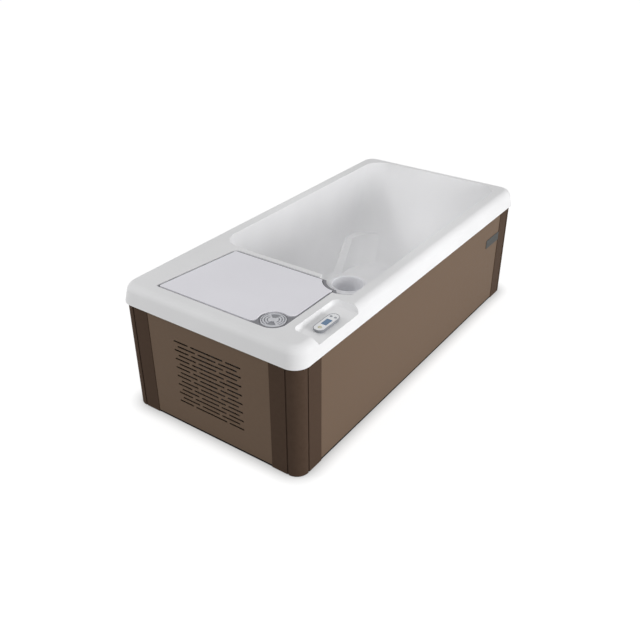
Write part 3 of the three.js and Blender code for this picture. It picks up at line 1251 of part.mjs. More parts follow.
function controlBoxCover() {
  const [width, length, height] = CONTROL_BOX_SIZE;
  const face = -LEG_INNER + 2 * SEAT_GAP + width;
  const y0 = LEG_FRONT_Y - FRAME_LEG_WIDTH / 2;
  const bottom = TUB_HEIGHT - CONTROL_BOX_TOP_DROP - height;
  const sheet = block(face, face + CONTROL_BOX_COVER, y0, y0 + length, bottom, bottom + height);
  const panel = block(face + CONTROL_BOX_COVER - 2, face + CONTROL_BOX_COVER + 1, y0 + 20, y0 + length - 20,
    bottom + 20, bottom + height - 20);
  return cut(sheet, panel);
}

function ozoneGenerator() {
  const [width, length, height] = OZONE_SIZE;
  const back = LEG_INNER - SEAT_GAP;
  const y0 = LEG_FRONT_Y - FRAME_LEG_WIDTH / 2;
  const bottom = TUB_HEIGHT - OZONE_TOP_DROP - height;
  const box = block(back - width, back, y0, y0 + length, bottom, bottom + height);
  const nozzle = drum(OZONE_NOZZLE_RADIUS, back - width / 2, y0 + length / 2,
    bottom - OZONE_NOZZLE_LENGTH, bottom + 1, SMALL_SIDES);
  return join(box, nozzle);
}

// Fittings in the near wall of the basin

const FITTING = {
  face: BASIN_NEAR + SEAT_GAP,
  back: BASIN_NEAR - SHELL_WALL - SEAT_GAP,
};
FITTING.end = FITTING.back - FITTING_REACH;

// The profile that both fittings share: barrel, nut behind the wall and flange in front of it
function fittingProfile(front) {
  const nutEnd = FITTING.back - FITTING_NUT_WIDTH;
  return [[FITTING_BORE, FITTING.end], [FITTING_BARREL, FITTING.end], [FITTING_BARREL, nutEnd],
    [FITTING_NUT, nutEnd], [FITTING_NUT, FITTING.back], [FITTING_BARREL, FITTING.back],
    [FITTING_BARREL, FITTING.face], [FITTING_FLANGE, FITTING.face],
    [FITTING_FLANGE, front - FITTING_CHAMFER], [FITTING_FLANGE - FITTING_CHAMFER, front]];
}

// A return fitting whose ball turns the water down along the wall
function returnJet() {
  const [x, z] = JET_PLACE;
  const front = FITTING.face + FITTING_FLANGE_THICKNESS;
  const ballBack = front - JET_BALL_DEPTH;
  const ballTop = front + JET_BALL_PROUD;
  const profile = [[0, ballBack], [FITTING_BORE, ballBack], ...fittingProfile(front),
    [FITTING_BORE + JET_BALL_PROUD, front], [FITTING_BORE - JET_BALL_PROUD, ballTop], [0, ballTop]];
  const reach = 2 * JET_BALL_DEPTH;
  const nozzle = drumAlongY(JET_NOZZLE_RADIUS, 0, 0, -reach, reach, PIPE_SIDES)
    .rotate([-JET_NOZZLE_TURN, 0, 0]).translate([x, front, z]);
  return cut(turnedAlongY(profile, x, z, SMALL_SIDES), nozzle);
}

// A drain fitting with a ring of strainer holes
function drainFitting() {
  const [x, z] = DRAIN_PLACE;
  const front = FITTING.face + FITTING_FLANGE_THICKNESS;
  const strainer = front - DRAIN_STRAINER;
  const profile = [[0, strainer], [FITTING_BORE, strainer], ...fittingProfile(front), [0, front]];
  const reach = FITTING_BORE - DRAIN_HOLE_RADIUS - DRAIN_HOLE_MARGIN;
  const holes = [];
  for (let k = 0; k < DRAIN_HOLES; k += 1) {
    const angle = k / DRAIN_HOLES * 2 * Math.PI;
    holes.push(drumAlongY(DRAIN_HOLE_RADIUS, x + reach * Math.cos(angle), z + reach * Math.sin(angle),
      strainer - 1, front + 1, PIPE_SIDES));
  }
  return cut(turnedAlongY(profile, x, z, SMALL_SIDES), ...holes);
}

const DRAIN = { end: FITTING.end - SEAT_GAP };
DRAIN.middle = DRAIN.end - DRAIN_VALVE_LENGTH / 2;
DRAIN.bonnetTop = DRAIN_PLACE[1] + DRAIN_BONNET_RISE;

// Ball valve with a capped hose end
function drainValve() {
  const [x, z] = DRAIN_PLACE;
  const far = DRAIN.end - DRAIN_VALVE_LENGTH;
  const cap = DRAIN_VALVE_RADIUS - DRAIN_CAP_STEP;
  const [inset, length] = DRAIN_VALVE_CHAMFER;
  const profile = [[0, far], [cap, far], [cap, far + DRAIN_CAP_LENGTH],
    [DRAIN_VALVE_RADIUS, far + DRAIN_CAP_LENGTH], [DRAIN_VALVE_RADIUS, DRAIN.end - length],
    [DRAIN_VALVE_RADIUS - inset, DRAIN.end], [0, DRAIN.end]];
  const bonnet = drum(DRAIN_BONNET_RADIUS, x, DRAIN.middle, z, DRAIN.bonnetTop, SMALL_SIDES);
  const stem = drum(DRAIN_STEM_RADIUS, x, DRAIN.middle, z, DRAIN.bonnetTop + DRAIN_STEM_RISE, SMALL_SIDES);
  return join(turnedAlongY(profile, x, z), bonnet, stem);
}

// Lever across the pipe: the valve is shut
function drainHandle() {
  const [x] = DRAIN_PLACE;
  const bottom = DRAIN.bonnetTop + SEAT_GAP;
  const top = bottom + DRAIN_LEVER_THICKNESS;
  const half = DRAIN_LEVER_WIDTH / 2;
  const start = x - half;
  const lever = roundedRectangle(start, start + DRAIN_LEVER_LENGTH,
    DRAIN.middle - half, DRAIN.middle + half, half - 0.01);
  const hole = drum(clear(DRAIN_STEM_RADIUS, SMALL_SIDES), x, DRAIN.middle, bottom - 1, top + 1, SMALL_SIDES);
  return cut(plate(lever, bottom, top), hole);
}

// Pipes between the fittings, the pump, the chiller and the valve

function pipeRoutes() {
  const outletHeight = TUB_HEIGHT - WELL_LIP_DROP - WELL_DEPTH + WELL_OUTLET_RISE;
  const wellOutlet = WELL.y - WELL_RADIUS - WELL_WALL - WELL_OUTLET_LENGTH - SEAT_GAP;
  const inlet = PUMP.inlet + SEAT_GAP;
  const drop = inlet + 2.5 * PIPE_BEND;
  const outletX = PUMP.volute + PUMP_VOLUTE_WIDTH / 2;
  const outletZ = STAND + PUMP_OUTLET_TOP + SEAT_GAP;
  const [coldPort, warmPort] = exchangerPorts();
  const over = warmPort[2] + 3 * PIPE_BEND;
  const portRun = 2 * PIPE_BEND;
  const portX = coldPort[0] - SEAT_GAP;
  const nutBottom = RECESS.floor - SHELL_WALL - SEAT_GAP - VALVE_NUT_HEIGHT;
  const valveFoot = nutBottom - VALVE_BODY_HEIGHT - PUMP_PORT_LENGTH - SEAT_GAP;
  const riser = [portX - 2.6 * PIPE_BEND, warmPort[1] - 1.4 * PIPE_BEND];
  const valveSide = KNOB.y + VALVE_BODY_RADIUS + PUMP_PORT_LENGTH + SEAT_GAP;
  const valveOut = nutBottom - VALVE_OUTLET_DROP;
  const jetBack = FITTING.end - SEAT_GAP;
  const jetRun = jetBack - 2 * PIPE_BEND;
  const turnHeight = valveFoot - 1.2 * PIPE_BEND;
  return {
    filter_pipe: [[WELL.x, wellOutlet, outletHeight], [WELL.x, PUMP.y, outletHeight],
      [drop, PUMP.y, outletHeight], [drop, PUMP.y, PUMP.z], [inlet, PUMP.y, PUMP.z]],
    chiller_feed_pipe: [[outletX, PUMP.y, outletZ], [outletX, PUMP.y, over], [outletX, warmPort[1], over],
      [portX - portRun, warmPort[1], over], [portX - portRun, warmPort[1], warmPort[2]],
      [portX, warmPort[1], warmPort[2]]],
    chiller_return_pipe: [[portX, coldPort[1], coldPort[2]], [riser[0], coldPort[1], coldPort[2]],
      [riser[0], riser[1] - PIPE_BEND, coldPort[2]], [riser[0], riser[1] - PIPE_BEND, turnHeight],
      [KNOB.x, KNOB.y, turnHeight], [KNOB.x, KNOB.y, valveFoot]],
    return_pipe: [[KNOB.x, valveSide, valveOut], [KNOB.x, jetRun, valveOut], [JET_PLACE[0], jetRun, valveOut],
      [JET_PLACE[0], jetRun, JET_PLACE[1]], [JET_PLACE[0], jetBack, JET_PLACE[1]]],
  };
}

// Assembly

const LOOKS = {
  acrylic: { color: 0xe9eaec, roughness: 0.18, metalness: 0 },
  seal: { color: 0x6e6f73, roughness: 0.8, metalness: 0 },
  knob: { color: 0xc9cbd0, roughness: 0.35, metalness: 0 },
  bezel: { color: 0x7d8186, roughness: 0.45, metalness: 0 },
  face: { color: 0xd8dde2, roughness: 0.35, metalness: 0 },
  display: { color: 0x1d62b8, roughness: 0.1, metalness: 0 },
  button: { color: 0xe4e4df, roughness: 0.4, metalness: 0 },
  panel: { color: 0x7a6858, roughness: 0.6, metalness: 0 },
  post: { color: 0x4b3f35, roughness: 0.6, metalness: 0 },
  plate: { color: 0x6a7074, roughness: 0.4, metalness: 0.6 },
  base: { color: 0x17171a, roughness: 0.7, metalness: 0 },
  frame: { color: 0x9da2a6, roughness: 0.45, metalness: 0.8 },
  foam: { color: 0xd9cfa8, roughness: 0.95, metalness: 0 },
  sheet: { color: 0xb4b8bb, roughness: 0.4, metalness: 0.8 },
  fin: { color: 0xc6cacd, roughness: 0.35, metalness: 0.9 },
  black: { color: 0x202124, roughness: 0.55, metalness: 0 },
  motor: { color: 0x35393f, roughness: 0.5, metalness: 0.4 },
  steel: { color: 0xa9adb2, roughness: 0.3, metalness: 0.9 },
  pipe: { color: 0xe6e7e9, roughness: 0.4, metalness: 0 },
  filter: { color: 0xeef0f3, roughness: 0.9, metalness: 0 },
  lever: { color: 0xb2202a, roughness: 0.5, metalness: 0 },
};

const group = new THREE.Group();

function add(name, look, body) {
  const mesh = new THREE.Mesh(toGeometry(body), new THREE.MeshStandardMaterial(LOOKS[look]));
  mesh.name = name;
  group.add(mesh);
}

add('tub_shell', 'acrylic', tubShell());
add('equipment_cover', 'acrylic', equipmentCover());
add('cover_core', 'foam', coverCore());
add('cover_seal', 'seal', coverSeal());
add('valve_knob', 'knob', valveKnob());
add('valve_body', 'pipe', valveBody());
add('control_housing', 'bezel', controlHousing());
add('control_face', 'face', controlFace());
add('control_display', 'display', controlDisplay());
for (const [name, place] of Object.entries(buttonPlaces())) add(name, 'button', button(place));
add('filter_canister', 'pipe', filterCanister());
add('filter_cartridge', 'filter', filterCartridge());

for (const [end, endY] of [['front', -1], ['rear', 1]]) {
  add(`${end}_panel`, 'panel', endPanel(endY, endY < 0));
  add(`frame_rail_${end}`, 'frame', endRail(endY));
}
for (const [side, sideX] of [['left', -1], ['right', 1]]) {
  add(`${side}_panel`, 'panel', sidePanel(sideX));
  add(`frame_rail_${side}`, 'frame', sideRail(sideX));
  add(`corner_post_front_${side}`, 'post', cornerPost(sideX, -1));
  add(`corner_post_rear_${side}`, 'post', cornerPost(sideX, 1));
  add(`frame_leg_front_${side}`, 'frame', frameLeg(sideX, LEG_FRONT_Y));
  add(`frame_leg_middle_${side}`, 'frame', frameLeg(sideX, 0));
  add(`frame_leg_rear_${side}`, 'frame', frameLeg(sideX, -LEG_FRONT_Y));
}
add('side_plate', 'plate', sidePlate());
add('base_pan', 'base', basePan());
add('foam_jacket', 'foam', foamJacket());

add('chiller_tray', 'sheet', chillerTray());
add('condenser_coil', 'fin', condenserCoil());
add('fan_shroud', 'sheet', fanShroud());
add('fan_rotor', 'black', fanRotor());
add('fan_motor', 'motor', fanMotor());
add('compressor', 'motor', compressor());
add('heat_exchanger', 'steel', heatExchanger());
add('pump_motor', 'motor', pumpMotor());
add('pump_wet_end', 'black', pumpWetEnd());
add('pump_base', 'black', pumpBase());
add('control_box', 'base', controlBox());
add('control_box_cover', 'sheet', controlBoxCover());
add('ozone_generator', 'face', ozoneGenerator());

add('return_jet', 'pipe', returnJet());
add('drain_fitting', 'pipe', drainFitting());
add('drain_valve', 'steel', drainValve());
add('drain_handle', 'lever', drainHandle());
for (const [name, route] of Object.entries(pipeRoutes())) add(name, 'pipe', pipe(route));

export default group;
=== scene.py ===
"""The looks of a cold plunge tub: a moulded white shell on a brown cabinet, with a chiller behind a grille.

Lengths are in metres. X runs across the tub, Y along it with the grille at -Y, and Z up from the floor.
"""
import math

import bpy
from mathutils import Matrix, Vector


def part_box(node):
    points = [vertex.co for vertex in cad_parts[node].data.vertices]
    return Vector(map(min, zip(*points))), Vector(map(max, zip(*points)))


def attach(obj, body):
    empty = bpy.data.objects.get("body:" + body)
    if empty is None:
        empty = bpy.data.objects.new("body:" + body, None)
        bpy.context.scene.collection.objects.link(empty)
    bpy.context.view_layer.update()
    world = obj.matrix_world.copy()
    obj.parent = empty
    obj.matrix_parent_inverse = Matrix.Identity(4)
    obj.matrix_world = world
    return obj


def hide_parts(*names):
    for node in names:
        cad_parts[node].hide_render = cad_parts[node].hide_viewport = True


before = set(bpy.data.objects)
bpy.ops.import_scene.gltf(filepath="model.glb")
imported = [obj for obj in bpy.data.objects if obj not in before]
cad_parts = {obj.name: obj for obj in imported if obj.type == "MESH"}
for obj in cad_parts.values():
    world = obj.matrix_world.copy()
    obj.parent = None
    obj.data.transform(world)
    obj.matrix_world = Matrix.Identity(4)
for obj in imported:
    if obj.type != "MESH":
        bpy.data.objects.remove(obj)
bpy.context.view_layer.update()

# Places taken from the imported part
SHELL_LOW, SHELL_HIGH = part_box("tub_shell")
SIDE = SHELL_HIGH.x
FRONT = SHELL_LOW.y
REAR = SHELL_HIGH.y
TOP = SHELL_HIGH.z

# Shell
WALL = 0.008
RIM_CORNER = 0.068
RIM_EDGE = 0.032
RIM_DRAFT = 0.009
SKIRT = 0.086
BASIN_HALF = SIDE - 0.0845
BASIN_FAR = REAR - 0.0675
BASIN_FLOOR = 0.060
BASIN_FILLET = 0.028
BASIN_LIP = 0.008
LIP_ROUND = 0.024
LIP_BELOW = TOP - BASIN_LIP
WALL_HEIGHT = LIP_BELOW - BASIN_FLOOR - BASIN_FILLET
BASIN_DRAFT = 0.030 / WALL_HEIGHT
BACKREST_SLOPE = 0.217 / WALL_HEIGHT
CORNER_TOP = 0.105
CORNER_SLOPE = 0.025 / WALL_HEIGHT

# Bolsters beside the backrest
BOLSTER_TOP = 0.245
BOLSTER_DEPTH = 0.028
BOLSTER_CORNER = 0.150
BOLSTER_FADE = 0.008
BOLSTER_NEAR_AT_TOP = 0.335
BOLSTER_NEAR_AT_FLOOR = 0.490
BOLSTER_BEVEL_NEAR = 0.050
BOLSTER_BEVEL_TOP = 0.011

# Deck
RECESS_NEAR = FRONT + 0.080
RECESS_FAR = RECESS_NEAR + 0.4555
RECESS_RIGHT = SIDE - 0.1635
RECESS_LEFT = -SIDE + 0.1525
RECESS_LEAN = 0.050
RECESS_FLOOR = TOP - 0.022
KNOB_CORNER = 0.066
FAR_CORNER = 0.020
NEAR_CORNER = 0.006
KNOB_X = RECESS_RIGHT - KNOB_CORNER
KNOB_Y = RECESS_NEAR + KNOB_CORNER
WELL_X = SIDE - 0.1665
WELL_Y = RECESS_FAR + 0.041
BASIN_NEAR = RECESS_FAR + 0.027
ALCOVE_RADIUS = 0.124
COLUMN_RADIUS = 0.084
ACCESS_LOW = (RECESS_LEFT + 0.072, RECESS_NEAR + 0.036)
ACCESS_HIGH = (RECESS_RIGHT - 0.154, RECESS_FAR - 0.036)
COVER_GAP = 0.0105
COVER_THICKNESS = 0.018
COVER_KNOB_NOTCH = 0.062
COVER_FLARE = 0.028
COVER_WELL_NOTCH = 0.109
COVER_CORE_INSET = 0.003
COVER_ROUND = 0.0025
CORE_ROUND = 0.0015
ACCESS_CORNER = 0.025
SEAL_LAND = 0.013
SEAL_WELL = 0.092
SEAL_SIDE_GAP = 0.0040
SEAL_KNOB_GAP = 0.002
SEAL_ROUND = 0.001
SEAT_GAP = 0.0003

# Knob and filter well
KNOB_RADIUS = 0.052
KNOB_HEIGHT = 0.015
KNOB_HOLLOW = 0.005
KNOB_ROUND = 0.003
KNOB_STEM = 0.012
KNOB_DISC_INSET = 0.004
FINGER_INNER = 0.012
FINGER_OUTER = 0.043
FINGER_START = math.radians(140)
FINGER_SWEEP = math.radians(60)
ARC_RADII = (0.0235, 0.0345, 0.0450)
ARC_HALF_WIDTH = 0.0021
ARC_START = math.radians(86)
ARC_SWEEP = math.radians(114)
VALVE_COLLAR = 0.026
COLLAR_HOLE = 0.0265
WELL_RADIUS = 0.067
WELL_WALL = 0.005
WELL_FLANGE = 0.084
FLANGE_THICKNESS = 0.003
WELL_HOLE = 0.0725
WELL_ROUND = 0.0021
PIPE_RADIUS = 0.021
PIPE_BORE = 0.015
OUTLET_HEIGHT = 0.035

# Ledge with the control
LEDGE_NEAR = FRONT + 0.1335
LEDGE_FAR = LEDGE_NEAR + 0.283
LEDGE_INNER = SIDE - 0.1225
LEDGE_FLOOR = TOP - 0.018
LEDGE_CORNER = 0.026
LEDGE_DRAFT = 0.008
LEDGE_FALL = 0.016
LEDGE_FILLET = 0.006
LEDGE_SOFT_EDGE = 0.004
CONTROL_X = SIDE - 0.060
CONTROL_Y = (LEDGE_NEAR + LEDGE_FAR) / 2 - 0.012
CONTROL_LENGTH = 0.144
CONTROL_WIDTH = 0.050
CONTROL_BEZEL = 0.0012
CONTROL_BACK_INSET = 0.005
CONTROL_ROUND = 0.0005
FACE_ROUND = 0.0006
WINDOW_CORNER = 0.003
SCREEN_ROUND = 0.0004
BUTTON_GAP = 0.0004
BUTTON_ROUND = 0.0008

# Cabinet
POST_THICKNESS = 0.014
POST_CORNER = 0.056
GROOVE_DEPTH = 0.004
GROOVE_WIDTH = 0.007
GROOVE_START = POST_CORNER + 0.002
GRILLE_ROWS = 15
GRILLE_PITCH = 0.02186
GRILLE_DROP = 0.185
GRILLE_HEIGHT = 0.0085
GRILLE_GAP = 0.013
GRILLE_LONG = 0.175
GRILLE_END = 0.080
GRILLE_EVEN = 0.098
GRILLE_WALL = 0.003
PANEL_ROUND = 0.0012
POST_ROUND = 0.0010
PLATE_CORNER = 0.004

# How far a cutting tool reaches past what it cuts
PAST = 0.01
FAR_PAST = 0.05

# Smoothness of rounds
ROUND_SIDES = 96
BUTTON_SIDES = 40
SMOOTH_ANGLE = math.radians(35)
SHELL_SMOOTH_ANGLE = math.radians(24)


# Modelling steps

def deselect():
    bpy.ops.object.select_all(action="DESELECT")


def take(piece):
    """Makes one piece the only selected and active one."""
    deselect()
    piece.select_set(True)
    bpy.context.view_layer.objects.active = piece


def settle(name):
    """Puts the new piece's place into its mesh and names it."""
    bpy.ops.object.transform_apply(location=True, rotation=True, scale=True)
    piece = bpy.context.object
    piece.name = name
    piece.data.name = name
    return piece


def add_block(name, low, high):
    deselect()
    middle = [(a + b) / 2 for a, b in zip(low, high)]
    size = [b - a for a, b in zip(low, high)]
    bpy.ops.mesh.primitive_cube_add(size=1, location=middle, scale=size)
    return settle(name)


def add_drum(name, radius, x, y, low, high, sides=ROUND_SIDES):
    deselect()
    bpy.ops.mesh.primitive_cylinder_add(
        vertices=sides, radius=radius, depth=high - low, location=(x, y, (low + high) / 2))
    return settle(name)


def pick_points(piece, test):
    """Enters edit mode with just the points selected that pass the test."""
    take(piece)
    bpy.ops.object.mode_set(mode="EDIT")
    bpy.ops.mesh.select_mode(type="VERT")
    bpy.ops.mesh.select_all(action="DESELECT")
    bpy.ops.object.mode_set(mode="OBJECT")
    for point in piece.data.vertices:
        point.select = test(point.co)
    bpy.ops.object.mode_set(mode="EDIT")


def pick_edges(piece, test):
    """Enters edit mode with just the edges selected whose two ends pass the test."""
    take(piece)
    bpy.ops.object.mode_set(mode="EDIT")
    bpy.ops.mesh.select_mode(type="EDGE")
    bpy.ops.mesh.select_all(action="DESELECT")
    bpy.ops.object.mode_set(mode="OBJECT")
    points = piece.data.vertices
    for edge in piece.data.edges:
        edge.select = test(points[edge.vertices[0]].co, points[edge.vertices[1]].co)
    bpy.ops.object.mode_set(mode="EDIT")


def move_points(piece, shift, test):
    pick_points(piece, test)
    bpy.ops.transform.translate(value=shift)
    bpy.ops.object.mode_set(mode="OBJECT")


def round_edges(piece, radius, steps, test, clamp=True):
    pick_edges(piece, test)
    bpy.ops.mesh.bevel(offset=radius, segments=steps, affect="EDGES", clamp_overlap=clamp)
    bpy.ops.object.mode_set(mode="OBJECT")


def merge_points(piece, distance):
    """Joins points that lie closer than a distance."""
    take(piece)
    bpy.ops.object.mode_set(mode="EDIT")
    bpy.ops.mesh.select_all(action="SELECT")
    bpy.ops.mesh.remove_doubles(threshold=distance)
    bpy.ops.object.mode_set(mode="OBJECT")
    return piece


def upright(a, b):
    """An edge that rises more than it runs."""
    return abs(a.z - b.z) > math.hypot(a.x - b.x, a.y - b.y)


def level_at(height):
    """A test for edges that lie at one height."""
    return lambda a, b: abs(a.z - height) < 1e-5 and abs(b.z - height) < 1e-5


def combine(piece, tool, operation):
    """Joins, cuts or clips a piece with a tool, and removes the tool."""
    take(piece)
    step = piece.modifiers.new(operation.lower(), "BOOLEAN")
    step.operation = operation
    step.solver = "EXACT"
    step.object = tool
    bpy.ops.object.modifier_apply(modifier=step.name)
    bpy.data.objects.remove(tool)
    return piece


def weld(piece, tool):
    return combine(piece, tool, "UNION")


def carve(piece, tool):
    return combine(piece, tool, "DIFFERENCE")


def clip(piece, tool):
    return combine(piece, tool, "INTERSECT")


def smooth(piece, angle=SMOOTH_ANGLE):
    """Smooth shading that keeps flats flat and true corners crisp."""
    take(piece)
    bpy.ops.object.shade_smooth_by_angle(angle=angle)
    step = piece.modifiers.new("flat_faces", "WEIGHTED_NORMAL")
    step.keep_sharp = True
    bpy.ops.object.modifier_apply(modifier=step.name)
    return piece


def dress(piece, body, slot, material, *nodes):
    """Gives a piece its finish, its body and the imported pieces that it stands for."""
    piece.data.materials.clear()
    piece.data.materials.append(material)
    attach(piece, body)
    if nodes:
        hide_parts(*nodes)
    return piece


# Finishes

def linear(*levels):
    """A colour from 0 to 255 as a screen shows it, made linear."""
    return [(v / 255 / 12.92) if v <= 10 else ((v / 255 + 0.055) / 1.055) ** 2.4 for v in levels]


def plain(name, colour, roughness, metal=0.0, shine=0.5):
    material = bpy.data.materials.new(name)
    material.use_nodes = True
    shader = material.node_tree.nodes["Principled BSDF"]
    shader.inputs["Base Color"].default_value = (*linear(*colour), 1)
    shader.inputs["Roughness"].default_value = roughness
    shader.inputs["Metallic"].default_value = metal
    shader.inputs["Specular IOR Level"].default_value = shine
    return material


def noise(material, scale, detail, stretch=(1, 1, 1)):
    """A noise pattern fixed to the piece."""
    tree = material.node_tree
    place = tree.nodes.new("ShaderNodeTexCoord")
    mapping = tree.nodes.new("ShaderNodeMapping")
    mapping.inputs["Scale"].default_value = stretch
    pattern = tree.nodes.new("ShaderNodeTexNoise")
    pattern.inputs["Scale"].default_value = scale
    pattern.inputs["Detail"].default_value = detail
    tree.links.new(place.outputs["Object"], mapping.inputs["Vector"])
    tree.links.new(mapping.outputs["Vector"], pattern.inputs["Vector"])
    return pattern


def tint(material, pattern, dark, light):
    """Lets the colour wander between two shades with a pattern."""
    tree = material.node_tree
    ramp = tree.nodes.new("ShaderNodeValToRGB")
    ramp.color_ramp.elements[0].position = 0.3
    ramp.color_ramp.elements[0].color = (*linear(*dark), 1)
    ramp.color_ramp.elements[1].position = 0.7
    ramp.color_ramp.elements[1].color = (*linear(*light), 1)
    tree.links.new(pattern.outputs["Fac"], ramp.inputs["Fac"])
    tree.links.new(ramp.outputs["Color"], tree.nodes["Principled BSDF"].inputs["Base Color"])


def polish(material, pattern, low, high):
    """Lets the roughness wander with a pattern."""
    tree = material.node_tree
    spread = tree.nodes.new("ShaderNodeMapRange")
    spread.inputs["From Min"].default_value = 0.3
    spread.inputs["From Max"].default_value = 0.7
    spread.inputs["To Min"].default_value = low
    spread.inputs["To Max"].default_value = high
    tree.links.new(pattern.outputs["Fac"], spread.inputs["Value"])
    tree.links.new(spread.outputs["Result"], tree.nodes["Principled BSDF"].inputs["Roughness"])


def emboss(material, pattern, height, strength):
    """Raises a pattern from the surface."""
    tree = material.node_tree
    bump = tree.nodes.new("ShaderNodeBump")
    bump.inputs["Distance"].default_value = height
    bump.inputs["Strength"].default_value = strength
    tree.links.new(pattern.outputs["Fac"], bump.inputs["Height"])
    tree.links.new(bump.outputs["Normal"], tree.nodes["Principled BSDF"].inputs["Normal"])


def moulded(name, colour, roughness, spread=5, grain=700, depth=0.0002, shine=0.5):
    """Moulded plastic: a faint change of shade and a fine moulded grain."""
    material = plain(name, colour, roughness, 0, shine)
    cloud = noise(material, 9, 3)
    tint(material, cloud, [max(v - spread, 0) for v in colour], [min(v + spread, 255) for v in colour])
    polish(material, cloud, roughness - 0.05, roughness + 0.06)
    emboss(material, noise(material, grain, 2), depth, 0.25)
    return material


def acrylic_finish(name, colour):
    """Polished white acrylic with the long soft waves of a moulded sheet."""
    material = plain(name, colour, 0.36, 0, 0.1)
    cloud = noise(material, 4, 2)
    tint(material, cloud, [v - 2 for v in colour], [v + 2 for v in colour])
    polish(material, cloud, 0.33, 0.40)
    emboss(material, noise(material, 26, 1), 0.0006, 0.06)
    return material


def composite_finish(name, colour, spread, shine):
    """Matt brown composite board with a fine grain and a faint mottle."""
    material = plain(name, colour, 0.6, 0, shine)
    mottle = noise(material, 45, 5)
    tint(material, mottle, [v - spread for v in colour], [v + spread for v in colour])
    polish(material, mottle, 0.55, 0.68)
    emboss(material, noise(material, 850, 3), 0.0003, 0.35)
    return material


def metal_finish(name, colour, roughness, stretch):
    """Sheet metal with fine drawn lines along one way."""
    material = plain(name, colour, roughness, 0.9)
    lines = noise(material, 120, 4, stretch)
    tint(material, lines, [max(v - 14, 0) for v in colour], [min(v + 10, 255) for v in colour])
    polish(material, lines, roughness - 0.08, roughness + 0.12)
    return material


def foam_finish():
    material = plain("sprayed_foam", (217, 207, 168), 0.95)
    bubbles = noise(material, 60, 6)
    tint(material, bubbles, (196, 184, 140), (228, 220, 186))
    emboss(material, bubbles, 0.003, 0.6)
    return material


ACRYLIC = acrylic_finish("white_acrylic", (244, 244, 245))
LID = acrylic_finish("lid_acrylic", (247, 246, 252))
PANEL = composite_finish("brown_board", (113, 94, 78), 2, 0.14)
POST = composite_finish("dark_brown_board", (82, 66, 55), 2, 0.03)
SEAL = moulded("grey_rubber", (142, 142, 147), 0.75, 4, 500)
KNOB = moulded("pale_grey_plastic", (214, 215, 220), 0.38, 3)
KNOB_SHADE = moulded("mid_grey_plastic", (156, 157, 162), 0.5, 4)
BEZEL = moulded("grey_plastic", (138, 140, 145), 0.45, 4)
FACE = moulded("light_face_plastic", (249, 250, 252), 0.35, 2)
DISPLAY = plain("blue_display", (92, 128, 164), 0.12)
BUTTON = moulded("button_plastic", (158, 162, 168), 0.4, 3)
POWER = moulded("power_button_plastic", (216, 212, 184), 0.4, 3)
PLATE = moulded("grey_plate", (79, 80, 79), 0.6, 3, 300, 0.0002, 0.12)
BLACK = moulded("black_plastic", (30, 31, 34), 0.5, 5)
BASE = moulded("black_base", (15, 15, 17), 0.8, 3, 300, 0.0002, 0.1)
PIPE = moulded("white_pipe_plastic", (248, 248, 251), 0.6, 2, 300)
FILTER = moulded("filter_cloth", (232, 235, 240), 0.9, 8, 900, 0.0008)
MOTOR = moulded("dark_enamel", (53, 57, 63), 0.45, 6, 200)
LEVER = moulded("red_sleeve", (176, 34, 42), 0.5, 6)
FOAM = foam_finish()
STEEL = metal_finish("galvanised_steel", (157, 162, 166), 0.42, (1, 1, 0.1))
SHEET = metal_finish("plain_sheet", (180, 184, 187), 0.36, (0.1, 1, 1))
# The fins are dark to paint the shade seen through the grille slots.
FIN = metal_finish("fin_painted_dark_for_grille_shade", (52, 54, 57), 0.5, (1, 1, 0.05))
BRUSHED = metal_finish("brushed_steel", (169, 173, 178), 0.3, (1, 0.1, 1))


# Shell

def rounded_face(name, half, near, far, height, corner):
    """A flat face with round corners, as wide as the basin at one height."""
    deselect()
    bpy.ops.mesh.primitive_plane_add(size=1, location=(0, (near + far) / 2, height))
    bpy.context.object.scale = (2 * half, far - near, 1)
    face = settle(name)
    take(face)
    bpy.ops.object.mode_set(mode="EDIT")
    bpy.ops.mesh.select_all(action="SELECT")
    bpy.ops.mesh.bevel(offset=corner, segments=14, affect="VERTICES")
    bpy.ops.object.mode_set(mode="OBJECT")
    return face


def loft_form(name, levels):
    """A closed form through round-cornered faces, each given by half width, ends, height and corner."""
    faces = [rounded_face(name, *level) for level in levels]
    deselect()
    for face in faces:
        face.select_set(True)
    bpy.context.view_layer.objects.active = faces[0]
    bpy.ops.object.join()
    form = bpy.context.object
    bpy.ops.object.mode_set(mode="EDIT")
    bpy.ops.mesh.select_mode(type="EDGE")
    bpy.ops.mesh.select_all(action="SELECT")
    bpy.ops.mesh.bridge_edge_loops()
    bpy.ops.mesh.select_all(action="SELECT")
    bpy.ops.mesh.fill_holes(sides=0)
    bpy.ops.mesh.select_all(action="SELECT")
    bpy.ops.mesh.normals_make_consistent(inside=False)
    bpy.ops.object.mode_set(mode="OBJECT")
    form.name = name
    return form


def basin_form(name, grow, low, high):
    """The basin's room: drafted sides, a sloped backrest and corners that tighten upwards."""
    levels = []
    for height in (low, high):
        drop = LIP_BELOW - height
        half = BASIN_HALF - BASIN_DRAFT * drop + grow
        far = BASIN_FAR - BACKREST_SLOPE * drop + grow
        corner = CORNER_TOP + CORNER_SLOPE * drop + grow
        levels.append((half, BASIN_NEAR - grow, far, height, corner))
    form = loft_form(name, levels)
    round_edges(form, BASIN_FILLET + grow, 8, level_at(low))
    return form


def bolster_room(name):
    """The room between the bolsters, narrower than the basin and with wider corners."""
    levels = []
    for height in (BASIN_FLOOR - WALL, BOLSTER_TOP + WALL):
        drop = LIP_BELOW - height
        half = BASIN_HALF - BASIN_DRAFT * drop - BOLSTER_DEPTH
        far = BASIN_FAR - BACKREST_SLOPE * drop + BOLSTER_FADE
        levels.append((half, BASIN_NEAR - BOLSTER_CORNER, far, height, BOLSTER_CORNER))
    return loft_form(name, levels)


